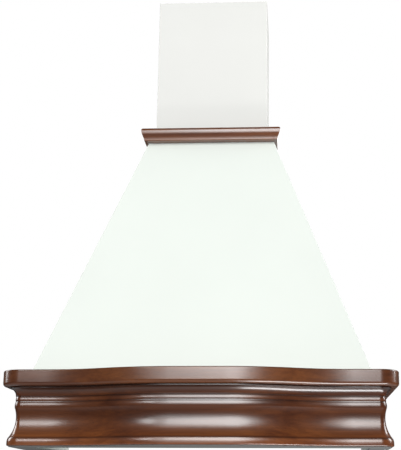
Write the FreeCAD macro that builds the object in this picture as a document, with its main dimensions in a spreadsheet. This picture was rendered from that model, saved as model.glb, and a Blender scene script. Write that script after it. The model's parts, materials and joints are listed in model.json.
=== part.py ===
import FreeCAD, Part

import math
import os
import re
from types import SimpleNamespace

import Sketcher
from FreeCAD import Placement, Rotation, Vector

# Chimney-type range hood with a stained wooden shelf, valance and collar.
# Frame: X to the right, Y into the wall, Z up, millimetres. The origin is on the wall plane,
# on the centre line, level with the lowest edge of the hood.

SIZES = {
    # plan of the wooden shelf: straight sides, round corners and a front that bows out
    "hood_width": 900, "side_depth": 470, "bow": 52, "crest_half": 60, "inflect_x": 215,
    "shoulder_long": 105, "corner_round": 46, "back_round": 2, "wall_run": 60,
    # shelf board
    "board_thick": 36, "board_round": 3, "board_ease": 8,
    # valance moulding, as setbacks from the shelf's edge and heights above its own foot
    "valance_tall": 132, "toe_in": 15, "toe_tall": 17, "toe_nose": 10, "toe_round": 26, "toe_ease": 3,
    "scotia_in": 33, "scotia_high": 62, "scotia_radius": 71.3, "scotia_step": 1,
    "bead_in": 29, "bead_tall": 14, "bead_radius": 25,
    "groove_in": 30.5, "small_bead_tall": 11, "small_bead_radius": 18, "bead_head_in": 31.5,
    "cove_in": 17, "cove_deep": 13, "cove_tall": 18, "cove_step": 1, "cove_drop": 3,
    # packing strips behind the moulding
    "packer_tall": 40,
    # steel body
    "sheet": 1.5, "ledge_side": 57, "ledge_front": 60, "top_ledge_x": 19, "top_ledge_y": 8,
    "pyramid_tall": 635, "seat_gap": 0.3, "trim_thick": 2, "trim_in": 20,
    # back plate and its wall fixings
    "back_flange": 20, "flange_low": 56, "slot_radius": 3.5, "slot_length": 16, "slot_in": 57,
    "slot_drop": 60, "wall_hole_radius": 3.5, "wall_hole_in": 48, "wall_hole_rise": 45,
    # flue covers, top ring and collar
    "flue_wide": 296, "flue_deep": 206, "flue_top": 1220, "flue_return": 15, "flue_play": 0.5,
    "upper_short": 6, "lip_tall": 15, "ring_hole_in": 6, "ring_hole_rear": 12,
    "collar_tall": 34, "collar_rail": 35, "collar_bull": 9.5, "collar_foot_in": 6,
    "collar_foot_tall": 4, "collar_cove": 13, "corner_reach": 150,
    # upper flue bracket
    "bracket_drop": 35, "bracket_tall": 20, "bracket_in": 26, "bracket_reach": 40,
    "bracket_step": 12, "bracket_hole_x": 80, "bracket_hole_radius": 3,
    # underside panel and grease filters
    "panel_z": 30, "panel_flange": 20, "trim_lap": 8, "filter_side_web": 13.5, "filter_mid_web": 16,
    "strip_deep": 86.5, "filter_thick": 9, "filter_back": 34, "filter_play": 0.5, "swing_play": 3,
    "filter_border": 13, "mesh_tuck": 4, "mesh_play": 0.1, "mesh_thick": 6, "mesh_layer": 0.8,
    "lip_high": 11, "pivot_radius": 2, "pivot_play": 0.06, "pivot_long": 4, "pivot_from_edge": 6,
    "pull_wide": 60, "pull_drop": 10, "pull_in": 12,
    # lamps and controls in the front strip of the underside
    "lamp_in": 136.5, "strip_in": 44.5, "lamp_radius": 30, "lamp_rim": 36, "lamp_rim_thick": 1.6,
    "lamp_tall": 27, "lens_radius": 27, "lens_thick": 3, "lens_recess": 0.5,
    "bezel_end": 27, "bezel_side": 9, "bezel_lap": 3, "bezel_thick": 3, "bezel_body_tall": 10,
    "bezel_wall": 1.5, "button_pitch": 34, "button_web": 8, "button_deep": 16,
    "button_proud": 4.5, "button_play": 0.3, "button_flange": 1.2, "button_flange_thick": 1.7,
    "stem_wide": 10, "stem_deep": 8, "stem_tall": 12, "stem_room": 18, "switch_tall": 24,
    # blower
    "scroll_radius": 130, "spigot_rim": 5, "hanger_deep": 25, "scroll_z": 330, "outlet_rise": 20,
    "inlet_in": 4, "fan_gap": 30, "blade_deep": 16, "fan_side_gap": 8,
    "blade_thick": 1.2, "blade_in": 0.5, "blade_count": 30,
    "hub_radius": 12, "hub_long": 18, "shaft_radius": 4,
    "shaft_play": 0.05, "hub_play": 0.02, "motor_radius": 48, "motor_near": 8, "motor_in": 6,
    "shaft_end": 6, "shaft_near": 22, "boss_radius": 25, "spider_disc": 34, "spider_lap": 14,
    "spider_arm": 18,
    "hanger_half": 60, "hanger_rise": 15, "hanger_tall": 110, "hanger_foot": 20,
    # outlet spigot and its non-return damper
    "spigot_radius": 75, "spigot_tall": 60, "damper_rise": 20, "flap_gap": 0.6, "flap_thick": 1.2,
    "damper_pin_radius": 1.5, "damper_play": 0.06, "knuckle_radius": 3, "flap_from_axis": 3.5,
    "web_sink": 0.75, "ledge_wide": 3.5, "ledge_thick": 2.5, "knuckle_end": 4.9, "knuckle_gap": 2,
    # electrics on the back plate
    "terminal_x": -250, "terminal_z": 90, "terminal_wide": 110, "terminal_tall": 90,
    "terminal_deep": 38, "terminal_wall": 2, "lid_thick": 2.5, "gland_radius": 9, "gland_step": 2,
    "gland_long": 16,
    "capacitor_x": 250, "capacitor_z": 100, "capacitor_radius": 18, "capacitor_long": 75,
    # how far cutting shapes run past what they cut, and how far fused shapes sink into each other
    "past": 1, "weld": 0.1,
    # screws and dowels
    "screw_radius": 1.75, "screw_head": 3.6, "screw_head_thick": 1.5, "screw_play": 0.15,
    "frame_screw_long": 26, "panel_screw_long": 8, "collar_screw_long": 18, "trim_screw_long": 20,
    "frame_screw_rear": 120, "frame_screw_front": 110, "frame_screw_in": 143, "panel_screw_rise": 12,
    "panel_screw_x": 150, "panel_screw_rear": 80, "panel_screw_front": 110, "collar_screw_rise": 8,
    "collar_screw_x": 80, "collar_screw_y": 100, "trim_screw_in": 28, "trim_screw_sink": 0.1,
    "trim_screw_rear": 100, "trim_screw_front": 130, "trim_screw_side": 75,
    "dowel_radius": 4, "dowel_long": 44, "dowel_play": 0.1, "dowel_in": 30,
}

doc = FreeCAD.newDocument("RangeHood")
sheet = doc.addObject("Spreadsheet::Sheet", "Sizes")
for row, (name, size) in enumerate(SIZES.items(), start=1):
    sheet.set(f"A{row}", name)
    sheet.set(f"B{row}", str(size))
    sheet.setAlias(f"B{row}", name)
doc.recompute()

# Levels and edges that follow from the sizes, each named once.
PLACES = {
    "half_width": "hood_width / 2",
    "front_depth": "side_depth + bow",
    "shoulder_x": "half_width - shoulder_long",
    "bow_angle": "2 * atan(bow / (shoulder_x - crest_half))",
    "crest_radius": "(inflect_x - crest_half) / sin(bow_angle)",
    "hollow_radius": "(shoulder_x - inflect_x) / sin(bow_angle)",
    "back_in": "corner_round - back_round",
    "base_deep": "side_depth - ledge_front",
    "foot": "trim_thick",
    "board_low": "foot + valance_tall",
    "board_top": "board_low + board_thick",
    "pyramid_top": "board_top + pyramid_tall",
    "skirt_x": "half_width - ledge_side",
    "skirt_in_x": "skirt_x - sheet",
    "skirt_in_y": "base_deep - sheet",
    "ring_top": "pyramid_top + sheet",
    "flue_x": "flue_wide / 2",
    "top_x": "flue_x + top_ledge_x",
    "top_deep": "flue_deep + top_ledge_y",
    "slot_x": "top_x - slot_in",
    "slot_z": "pyramid_top - slot_drop",
    "wall_hole_x": "skirt_x - wall_hole_in",
    "wall_hole_z": "board_top + wall_hole_rise",
    "bracket_z": "flue_top - bracket_drop",
    "bracket_half": "flue_x - bracket_in",
    # valance section
    "toe_out_high": "foot + toe_tall - toe_nose",
    "toe_top": "foot + toe_tall",
    "toe_ease_in": "toe_in + toe_ease",
    "toe_ease_high": "foot + toe_ease",
    "scotia_foot_in": "scotia_in - scotia_radius + sqrt(scotia_radius ^ 2 - (scotia_high - toe_tall) ^ 2)",
    "cove_head": "board_low - cove_drop",
    "cove_foot": "cove_head - cove_tall",
    "bead_head": "cove_foot - cove_step",
    "groove": "bead_head - small_bead_tall",
    "bead_foot": "groove - bead_tall",
    "scotia_head": "bead_foot - scotia_step",
    "scotia_rise": "scotia_head - foot - scotia_high",
    "scotia_head_in": "scotia_in - scotia_radius + sqrt(scotia_radius ^ 2 - scotia_rise ^ 2)",
    "cove_foot_in": "cove_in + cove_deep",
    "cove_radius": "(cove_tall ^ 2 + cove_deep ^ 2) / (2 * cove_deep)",
    "packer_in": "back_in + seat_gap",
    # collar section
    "collar_half": "flue_x + collar_rail",
    "collar_front": "flue_deep + collar_rail",
    "rail_in": "collar_rail - seat_gap",
    "bull_top_in": "collar_bull",
    "bull_low": "collar_tall - collar_bull * (1 + sqrt(0.5))",
    "bull_low_in": "collar_bull * (1 - sqrt(0.5))",
    # underside
    "panel_top": "panel_z + sheet",
    "filter_low": "panel_top",
    "filter_wide": "skirt_in_x - filter_side_web - filter_mid_web / 2",
    "filter_x": "(filter_wide + filter_mid_web) / 2",
    "filter_rear": "-filter_back",
    "filter_front": "strip_deep - skirt_in_y",
    "lamp_x": "skirt_in_x - lamp_in",
    "strip_y": "skirt_in_y - strip_in",
    "pivot_y": "filter_rear - pivot_from_edge",
    "pivot_z": "filter_low + filter_thick / 2",
    "lamp_low": "panel_z - lamp_rim_thick",
    "lens_seat_z": "lamp_low + lens_recess + lens_thick + seat_gap",
    "button_wide": "button_pitch - button_web",
    "bezel_wide": "4 * button_pitch + 2 * bezel_end",
    "bezel_deep": "button_deep + 2 * bezel_side",
    "bezel_body_wide": "bezel_wide - 2 * bezel_lap",
    "bezel_body_deep": "bezel_deep - 2 * bezel_lap",
    "bezel_low": "panel_z - bezel_thick",
    "bezel_top": "panel_z + bezel_body_tall",
    "flange_rest": "panel_z + button_play",
    "stem_low": "flange_rest + button_flange_thick",
    # fixings
    "board_middle": "board_low + board_thick / 2",
    "frame_screw_x": "skirt_x - frame_screw_in",
    "trim_screw_x": "half_width - trim_screw_side",
    "panel_screw_z": "panel_z + panel_screw_rise",
    "collar_screw_z": "ring_top + collar_screw_rise",
    "trim_screw_z": "screw_head_thick + trim_screw_sink",
    # blower
    "scroll_half": "spigot_radius + spigot_rim",
    "outlet_deep": "2 * scroll_half",
    "fan_radius": "scroll_radius - fan_gap",
    "fan_inner": "fan_radius - blade_deep",
    "fan_half": "scroll_half - fan_side_gap",
    "inlet_radius": "fan_inner - inlet_in",
    "spider_reach": "inlet_radius + spider_lap",
    "motor_far": "fan_half - motor_in",
    "shaft_far": "motor_far - shaft_end",
    "scroll_y": "scroll_radius + hanger_deep",
    "outlet_z": "scroll_z + scroll_radius + outlet_rise",
    "hanger_low": "scroll_z + hanger_rise",
    "scroll_rear": "scroll_radius - scroll_y",
    "outlet_front": "scroll_rear - outlet_deep",
    "outlet_y": "scroll_rear - outlet_deep / 2",
    "flap_z": "outlet_z + sheet + damper_rise",
    "flap_radius": "spigot_radius - sheet - flap_gap",
    "knuckle_long": "(flap_radius - knuckle_end) / 2 - knuckle_gap",
}
NAMES = {**{name: "Sizes" for name in SIZES}, **{name: "Places" for name in PLACES}}


def link(expression):
    """The expression with each size and place written as a reference to its owner."""
    return re.sub(r"[a-z]\w*", lambda m: f"{NAMES[m[0]]}.{m[0]}" if m[0] in NAMES else m[0], expression)


places = doc.addObject("App::VarSet", "Places")
for name, expression in PLACES.items():
    places.addProperty("App::PropertyAngle" if name == "bow_angle" else "App::PropertyFloat", name)
    places.setExpression(name, link(expression))
doc.recompute()
v = SimpleNamespace(**{name: float(sheet.get(name)) for name in SIZES})
for name in PLACES:
    setattr(v, name, float(getattr(places, name)))

TURN = {
    "+X": Rotation(Vector(0, 1, 0), 90), "-X": Rotation(Vector(0, 1, 0), -90),
    "+Y": Rotation(Vector(1, 0, 0), -90), "-Y": Rotation(Vector(1, 0, 0), 90),
    "+Z": Rotation(), "-Z": Rotation(Vector(1, 0, 0), 180),
}
UPRIGHT = Rotation(Vector(1, 0, 0), 90)  # turns a sketch's own Y up, so that it looks along +Y
nodes = []


def piece(made, label):
    """Marks an object as a sub-part, to be written under its label."""
    made.Label = label
    nodes.append(made)
    return made


def place(made, x, y, z):
    for axis, expression in (("x", x), ("y", y), ("z", z)):
        made.setExpression(f"Placement.Base.{axis}", link(expression))


def box(name, x, y, z):
    """Block between three pairs of planes, each pair given as (low, high)."""
    made = doc.addObject("Part::Box", name)
    for size, (low, high) in (("Length", x), ("Width", y), ("Height", z)):
        made.setExpression(size, link(f"{high} - ({low})"))
    place(made, x[0], y[0], z[0])
    return made


def rod(name, way, radius, length, x, y, z):
    """Round bar from the point x, y, z, in the direction way."""
    made = doc.addObject("Part::Cylinder", name)
    made.Placement = Placement(Vector(), TURN[way])
    made.setExpression("Radius", link(radius))
    made.setExpression("Height", link(length))
    place(made, x, y, z)
    return made


def fuse(name, *parts):
    made = doc.addObject("Part::MultiFuse", name)
    made.Shapes = list(parts)
    return made


def cut(name, base, *tools):
    made = doc.addObject("Part::Cut", name)
    made.Base = base
    made.Tool = tools[0] if len(tools) == 1 else fuse(name + "_tools", *tools)
    return made


def common(name, first, second):
    made = doc.addObject("Part::MultiCommon", name)
    made.Shapes = [first, second]
    return made


def group(name, parts):
    made = doc.addObject("Part::Compound", name)
    made.Links = list(parts)
    return made


def wedge(name, rotation, **sizes):
    """Block whose two ends, at Ymin and Ymax, are rectangles of different sizes."""
    made = doc.addObject("Part::Wedge", name)
    made.Placement = Placement(Vector(), rotation)
    for size, expression in sizes.items():
        made.setExpression(size, link(expression))
    return made


def mirrored(made, name, side):
    """The piece itself for the left side, or its mirror image for the right."""
    if side == "left":
        return made
    image = doc.addObject("Part::Mirroring", name)
    image.Source = made
    image.Normal = Vector(1, 0, 0)
    return image


def screw(name, way, length, x, y, z):
    """Flat-headed screw whose head lies behind the point x, y, z and whose shank runs on in way."""
    head = rod(name + "_head", "-Z", "screw_head", "screw_head_thick", "0", "0", "0")
    shank = rod(name + "_shank", "+Z", "screw_radius", length, "0", "0", "0")
    made = fuse(name, head, shank)
    made.Placement = Placement(Vector(), TURN[way])
    place(made, x, y, z)
    return made


def screw_hole(name, way, length, x, y, z):
    return rod(name + "_hole", way, "screw_radius + screw_play", f"{length} + past", x, y, z)


# ---------------------------------------------------------------- sketches


def bind(sketch, kind, *where):
    """Adds a constraint whose last argument is its size, and links it to that expression."""
    *geometry, expression, start = where
    index = sketch.addConstraint(Sketcher.Constraint(kind, *geometry, start))
    sketch.setExpression(f"Constraints[{index}]", link(expression))


def plan_sketch(name, inset, closed):
    """The shelf's plan, drawn inset from its edge: sides, round corners, shoulders and bow."""
    sketch = doc.addObject("Sketcher::SketchObject", name)
    inset_size = getattr(v, inset) if inset in NAMES else float(inset)
    turn = math.radians(v.bow_angle)
    side, edge = v.half_width - inset_size, -v.side_depth + inset_size
    crest, corner = -v.front_depth + inset_size, v.corner_round - inset_size
    bulge, hollow = v.crest_radius - inset_size, v.hollow_radius + inset_size
    meet = v.inflect_x - inset_size * math.sin(turn)

    def line(x0, y0, x1, y1):
        return sketch.addGeometry(Part.LineSegment(Vector(x0, y0, 0), Vector(x1, y1, 0)))

    def arc(x, y, radius, start, end):
        circle = Part.Circle(Vector(x, y, 0), Vector(0, 0, 1), radius)
        return sketch.addGeometry(Part.ArcOfCircle(circle, start, end))

    down, up = 1.5 * math.pi, 0.5 * math.pi
    left = line(-side, v.wall_run, -side, edge + corner)
    left_corner = arc(-side + corner, edge + corner, corner, math.pi, down)
    left_shoulder = line(-side + corner, edge, -v.shoulder_x, edge)
    left_hollow = arc(-v.shoulder_x, edge - hollow, hollow, up - turn, up)
    left_bulge = arc(-v.crest_half, crest + bulge, bulge, down - turn, down)
    middle = line(-v.crest_half, crest, v.crest_half, crest)
    right_bulge = arc(v.crest_half, crest + bulge, bulge, down, down + turn)
    right_hollow = arc(v.shoulder_x, edge - hollow, hollow, up, up + turn)
    right_shoulder = line(v.shoulder_x, edge, side - corner, edge)
    right_corner = arc(side - corner, edge + corner, corner, down, 2 * math.pi)
    right = line(side, edge + corner, side, v.wall_run)
    joints = [(left, 2, left_corner, 1), (left_corner, 2, left_shoulder, 1),
              (left_shoulder, 2, left_hollow, 2), (left_hollow, 1, left_bulge, 1),
              (left_bulge, 2, middle, 1), (middle, 2, right_bulge, 1),
              (right_bulge, 2, right_hollow, 2), (right_hollow, 1, right_shoulder, 1),
              (right_shoulder, 2, right_corner, 1), (right_corner, 2, right, 1)]
    for joint in joints:
        sketch.addConstraint(Sketcher.Constraint("Tangent", *joint))
    for geometry in (left, right):
        sketch.addConstraint(Sketcher.Constraint("Vertical", geometry))
    for geometry in (left_shoulder, middle, right_shoulder):
        sketch.addConstraint(Sketcher.Constraint("Horizontal", geometry))
    for sign, straight, end, bend, shoulder, inner, swell, crest_end in (
            ("-", left, 1, left_corner, left_shoulder, 2, left_bulge, 1),
            ("", right, 2, right_corner, right_shoulder, 1, right_bulge, 2)):
        number = -1 if sign else 1
        meet_at = f"{sign}(inflect_x - ({inset}) * sin(bow_angle))"
        bind(sketch, "DistanceX", straight, end, f"{sign}(half_width - ({inset}))", number * side)
        bind(sketch, "DistanceY", straight, end, "wall_run", v.wall_run)
        bind(sketch, "Radius", bend, f"corner_round - ({inset})", corner)
        bind(sketch, "DistanceY", shoulder, inner, f"({inset}) - side_depth", edge)
        bind(sketch, "DistanceX", shoulder, inner, f"{sign}shoulder_x", number * v.shoulder_x)
        bind(sketch, "DistanceX", swell, crest_end, meet_at, number * meet)
        bind(sketch, "DistanceX", middle, 1 if sign else 2, f"{sign}crest_half", number * v.crest_half)
    bind(sketch, "DistanceY", middle, 1, f"({inset}) - front_depth", crest)
    if closed:
        rear = line(side, v.wall_run, -side, v.wall_run)
        sketch.addConstraint(Sketcher.Constraint("Coincident", right, 2, rear, 1))
        sketch.addConstraint(Sketcher.Constraint("Coincident", rear, 2, left, 1))
    return sketch


def section_sketch(name, points):
    """Closed section. A point is (x, y) or (x, y, radius, side): the last two bend the edge that
    leaves it into an arc, whose centre lies to the left (+1) or right (-1) of the way it goes."""
    sketch = doc.addObject("Sketcher::SketchObject", name)
    spots = [Vector(getattr(v, p[0], 0.0), getattr(v, p[1], 0.0), 0) for p in points]
    for index, point in enumerate(points):
        start, end = spots[index], spots[(index + 1) % len(points)]
        if len(point) == 2:
            sketch.addGeometry(Part.LineSegment(start, end))
            ends = (1, 2)
        else:
            radius, side = getattr(v, point[2]), point[3]
            chord = end - start
            across = Vector(-chord.y, chord.x, 0).normalize() * side
            centre = (start + end) * 0.5 + across * math.sqrt(radius ** 2 - chord.Length ** 2 / 4)
            angles = [math.atan2(p.y - centre.y, p.x - centre.x) for p in (start, end)]
            ends = (1, 2) if side > 0 else (2, 1)
            low, high = angles if side > 0 else angles[::-1]
            high += 2 * math.pi if high < low else 0
            sketch.addGeometry(Part.ArcOfCircle(Part.Circle(centre, Vector(0, 0, 1), radius), low, high))
            bind(sketch, "Radius", index, point[2], radius)
        points[index] = (*point[:2], ends)
    for index, (x, y, ends) in enumerate(points):
        following = (index + 1) % len(points)
        meeting = (index, ends[1], following, points[following][2][0])
        sketch.addConstraint(Sketcher.Constraint("Coincident", *meeting))
        bind(sketch, "DistanceX", index, ends[0], x, spots[index].x)
        bind(sketch, "DistanceY", index, ends[0], y, spots[index].y)
    return sketch


def extrude(name, sketch, length, direction=Vector(0, 0, 1)):
    made = doc.addObject("Part::Extrusion", name)
    made.Base = sketch
    made.DirMode = "Custom"
    made.Dir = direction
    made.Solid = True
    made.setExpression("LengthFwd", link(length))
    return made


# ---------------------------------------------------------------- wooden shelf and valance

room = box("room", ("-hood_width", "hood_width"), ("-hood_width", "0"), ("-hood_width", "2 * flue_top"))
halves = {
    "left": box("left_half", ("-hood_width", "0"), ("-hood_width", "0"), ("0", "flue_top")),
    "right": box("right_half", ("0", "hood_width"), ("-hood_width", "0"), ("0", "flue_top")),
}


def mitre_zone(name, half, front):
    """Space in front of the two 45 degree planes that start at the corners of a mitred frame."""
    return wedge(name, Rotation(), Xmin=f"-({half}) - corner_reach", Xmax=f"{half} + corner_reach",
                 X2min=f"corner_reach - ({half})", X2max=f"{half} - corner_reach",
                 Ymin=f"-({front}) - corner_reach", Ymax=f"corner_reach - ({front})",
                 Zmin="0", Zmax="flue_top", Z2min="0", Z2max="flue_top")


def split_frame(made, zone, kind):
    """The three pieces of a mitred frame that runs round the left, front and right."""
    sides = cut(kind + "_sides", made, zone)
    return {"front": common(f"{kind}_front", made, zone),
            **{side: common(f"{kind}_{side}", sides, half) for side, half in halves.items()}}


frame_zone = mitre_zone("frame_zone", "half_width", "side_depth")
skirt_space = box("skirt_space", ("-skirt_x - seat_gap", "skirt_x + seat_gap"),
                  ("-base_deep - seat_gap", "past"), ("0", "board_top + past"))

frame_screw_spots = [
    *[(way, x, y) for way, x in (("-X", "-skirt_in_x"), ("+X", "skirt_in_x"))
      for y in ("-frame_screw_rear", "frame_screw_front - base_deep")],
    ("-Y", "-frame_screw_x", "-skirt_in_y"), ("-Y", "0", "-skirt_in_y"),
    ("-Y", "frame_screw_x", "-skirt_in_y"),
]
frame_screws, frame_holes = [], []
for index, (way, x, y) in enumerate(frame_screw_spots):
    frame_screws.append(screw(f"frame_screw_{index}", way, "frame_screw_long", x, y, "board_middle"))
    frame_holes.append(screw_hole(f"frame_screw_{index}", way, "frame_screw_long", x, y, "board_middle"))
frame_hole_set = fuse("frame_hole_set", *frame_holes)

dowels, dowel_holes = [], []
for side, sign in (("left", 1), ("right", -1)):
    across = Rotation(Vector(0, 0, 1), Vector(sign, -1, 0))
    for name, radius, length, made in (("dowel", "dowel_radius", "dowel_long", dowels),
                                       ("dowel_hole", "dowel_radius + dowel_play",
                                        "dowel_long + 2 * dowel_play", dowel_holes)):
        bar = rod(f"{side}_{name}", "+Z", radius, length, "0", "0", "board_middle")
        bar.Placement = Placement(Vector(), across)
        start = f"({length}) / 2 * sqrt(0.5)"
        place(bar, f"{-sign} * (half_width - dowel_in + {start})", f"dowel_in - side_depth + {start}",
              "board_middle")
        made.append(bar)
piece(group("mitre_dowels", dowels), "mitre_dowels")

shelf_plan = plan_sketch("shelf_plan", "0", closed=True)
shelf_blank = extrude("shelf_blank", shelf_plan, "board_thick")
place(shelf_blank, "0", "0", "board_low")
shelf_square = cut("shelf_square", common("shelf_in_room", shelf_blank, room), skirt_space)
doc.recompute()


def edge_at(edge, level):
    """True for an edge of the shelf's outer outline at this height."""
    middle = edge.valueAt((edge.FirstParameter + edge.LastParameter) / 2)
    outside = abs(middle.x) > v.skirt_x + v.past or middle.y < -v.base_deep - v.past
    flat = edge.BoundBox.ZLength < 1e-6 and abs(middle.z - level) < 1e-6
    return flat and outside and middle.y < -1e-3


shelf_round = doc.addObject("Part::Fillet", "shelf_round")
shelf_round.Base = shelf_square
shelf_round.Edges = [
    (number, radius, radius)
    for level, radius in ((v.board_top, v.board_round), (v.board_low, v.board_ease))
    for number, edge in enumerate(shelf_square.Shape.Edges, start=1) if edge_at(edge, level)
]
shelf = cut("shelf", shelf_round, frame_hole_set, *dowel_holes)
for side, made in split_frame(shelf, frame_zone, "shelf_part").items():
    piece(made, f"{side}_shelf_board")

valance_path = plan_sketch("valance_path", "0", closed=False)
valance_section = section_sketch("valance_section", [
    ("back_in", "foot"), ("toe_ease_in", "foot", "toe_ease", -1), ("toe_in", "toe_ease_high"),
    ("toe_in", "toe_out_high", "toe_round", -1),
    ("scotia_foot_in", "toe_top", "scotia_radius", 1), ("scotia_head_in", "scotia_head"),
    ("bead_in", "bead_foot", "bead_radius", -1), ("groove_in", "groove", "small_bead_radius", -1),
    ("bead_head_in", "bead_head"), ("cove_foot_in", "cove_foot", "cove_radius", 1),
    ("cove_in", "cove_head"), ("cove_in", "board_low"), ("back_in", "board_low"),
])
valance_section.Placement = Placement(Vector(), UPRIGHT)
place(valance_section, "-half_width", "wall_run", "0")
doc.recompute()
valance_run = doc.addObject("Part::Sweep", "valance_run")
valance_run.Sections = [valance_section]
valance_run.Spine = (valance_path, [f"Edge{n}" for n in range(1, 12)])
valance_run.Solid = True
valance_run.Frenet = False

trim_spots = [
    *[(f"{sign}(half_width - trim_screw_in)", y) for sign in ("-", "")
      for y in ("-trim_screw_rear", "trim_screw_front - side_depth")],
    ("-trim_screw_x", "trim_screw_in - side_depth"), ("trim_screw_x", "trim_screw_in - side_depth"),
    ("0", "trim_screw_in - front_depth"),
]
trim_screws, trim_holes, trim_sinks = [], [], []
for index, (x, y) in enumerate(trim_spots):
    name = f"trim_screw_{index}"
    trim_screws.append(screw(name, "+Z", "trim_screw_long", x, y, "trim_screw_z"))
    trim_holes.append(screw_hole(name, "+Z", "trim_screw_long", x, y, "trim_screw_z"))
    trim_sinks.append(rod(name + "_sink", "+Z", "screw_head + screw_play", "trim_screw_z", x, y, "0"))
trim_hole_set = fuse("trim_hole_set", *trim_holes)
valance = cut("valance", common("valance_in_room", valance_run, room), trim_hole_set)
for side, made in split_frame(valance, frame_zone, "valance_part").items():
    piece(made, f"{side}_valance")

packer_plan = plan_sketch("packer_plan", "packer_in", closed=True)
packer_blank = extrude("packer_blank", packer_plan, "packer_tall")
place(packer_blank, "0", "0", "board_low - packer_tall")
packer = cut("packer", common("packer_in_room", packer_blank, room), skirt_space)
for side, made in split_frame(packer, frame_zone, "packer_part").items():
    piece(made, f"{side}_packer")

trim_plan = plan_sketch("trim_plan", "trim_in", closed=True)
trim_blank = extrude("trim_blank", trim_plan, "trim_thick")
trim_mouth = box("trim_mouth", ("trim_lap - skirt_in_x", "skirt_in_x - trim_lap"),
                 ("trim_lap - skirt_in_y", "past"), ("-past", "trim_thick + past"))
piece(cut("trim", common("trim_in_room", trim_blank, room), trim_mouth, trim_hole_set, *trim_sinks),
      "underside_trim")

# ---------------------------------------------------------------- steel body


def body_block(name, side_in, front_in):
    """The body's skirt and pyramid as one block, with its sides and front moved inwards."""
    half, deep = f"skirt_x - ({side_in})", f"base_deep - ({front_in})"
    top_half, top_deep = f"top_x - ({side_in})", f"top_deep - ({front_in})"
    skirt = box(name + "_skirt", (f"-({half})", half), (f"-({deep})", "0"), ("foot", "board_top"))
    pyramid = wedge(name + "_pyramid", UPRIGHT, Xmin=f"-({half})", Xmax=half, X2min=f"-({top_half})",
                    X2max=top_half, Ymin="board_top", Ymax="pyramid_top", Zmin="0", Zmax=deep,
                    Z2min="0", Z2max=top_deep)
    return fuse(name, skirt, pyramid)


panel_screw_spots = [
    *[(way, f"{sign}(skirt_in_x - sheet)", y) for way, sign in (("-X", "-"), ("+X", ""))
      for y in ("-panel_screw_rear", "panel_screw_front - base_deep")],
    ("-Y", "-panel_screw_x", "sheet - skirt_in_y"), ("-Y", "panel_screw_x", "sheet - skirt_in_y"),
]
panel_screws, panel_holes = [], []
for index, (way, x, y) in enumerate(panel_screw_spots):
    name = f"panel_screw_{index}"
    panel_screws.append(screw(name, way, "panel_screw_long", x, y, "panel_screw_z"))
    panel_holes.append(screw_hole(name, way, "panel_screw_long", x, y, "panel_screw_z"))
panel_hole_set = fuse("panel_hole_set", *panel_holes)

whole_body = body_block("whole_body", "0", "0")
between_sides = body_block("between_sides", "sheet", "0")
inner_space = body_block("inner_space", "sheet", "sheet")
flange_space = body_block("flange_space", "2 * sheet", "0")

side_skins = cut("side_skins", whole_body, between_sides, frame_hole_set, panel_hole_set)
for side, half in halves.items():
    piece(common(f"{side}_skin", side_skins, half), f"{side}_side_panel")
piece(cut("front_skin", between_sides, inner_space, frame_hole_set, panel_hole_set), "front_panel")


def slot(name, x, z):
    """Level slot right through the back plate, centred on x, z."""
    reach = "slot_length / 2 - slot_radius"
    ends = [rod(f"{name}_{sign}", "+Y", "slot_radius", "3 * sheet", f"{x} {sign} ({reach})", "-2 * sheet", z)
            for sign in "-+"]
    middle = box(name + "_middle", (f"{x} - ({reach})", f"{x} + {reach}"), ("-2 * sheet", "sheet"),
                 (f"{z} - slot_radius", f"{z} + slot_radius"))
    return fuse(name, *ends, middle)


back_sheet = common("back_sheet", between_sides, box(
    "back_slice", ("-skirt_x", "skirt_x"), ("-sheet", "0"), ("panel_z", "flue_top")))
back_flanges = common("back_flanges", cut("flange_run", between_sides, flange_space), box(
    "flange_slice", ("-skirt_x", "skirt_x"), ("-sheet - back_flange", "-sheet"),
    ("flange_low", "flue_top")))
piece(cut("back", fuse("back_solid", back_sheet, back_flanges),
          slot("left_slot", "-slot_x", "slot_z"), slot("right_slot", "slot_x", "slot_z"),
          *[rod(f"{side}_wall_hole", "+Y", "wall_hole_radius", "3 * sheet", f"{sign}wall_hole_x",
                "-2 * sheet", "wall_hole_z") for side, sign in (("left", "-"), ("right", ""))]),
      "back_plate")

# ---------------------------------------------------------------- top ring, flue covers and collar

collar_screw_spots = [
    ("-X", "2 * sheet - flue_x", "-collar_screw_y"), ("+X", "flue_x - 2 * sheet", "-collar_screw_y"),
    ("-Y", "-collar_screw_x", "2 * sheet - flue_deep"), ("-Y", "collar_screw_x", "2 * sheet - flue_deep"),
]
collar_screws, collar_holes = [], []
for index, (way, x, y) in enumerate(collar_screw_spots):
    name = f"collar_screw_{index}"
    collar_screws.append(screw(name, way, "collar_screw_long", x, y, "collar_screw_z"))
    collar_holes.append(screw_hole(name, way, "collar_screw_long", x, y, "collar_screw_z"))
collar_hole_set = fuse("collar_hole_set", *collar_holes)


def ring_of(name, half, front, rear, low, high):
    """Upright rectangular tube with walls one sheet thick."""
    outer = box(name + "_outer", (f"-({half})", half), (f"-({front})", f"-({rear})"), (low, high))
    inner = box(name + "_inner", (f"sheet - ({half})", f"{half} - sheet"),
                (f"sheet - ({front})", f"-({rear}) - sheet"), (f"{low} - past", f"{high} + past"))
    return cut(name, outer, inner)


ring_plate = cut("ring_plate", box("ring_sheet", ("-top_x", "top_x"), ("-top_deep", "0"),
                                   ("pyramid_top", "ring_top")),
                 box("ring_mouth", ("ring_hole_in - flue_x", "flue_x - ring_hole_in"),
                     ("ring_hole_in - flue_deep", "-ring_hole_rear"),
                     ("pyramid_top - past", "ring_top + past")))
ring_lip = ring_of("ring_lip", "flue_x - sheet", "flue_deep - sheet", "sheet", "ring_top",
                   "ring_top + lip_tall")
piece(cut("ring", fuse("ring_solid", ring_plate, ring_lip), collar_hole_set), "top_ring")


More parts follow.
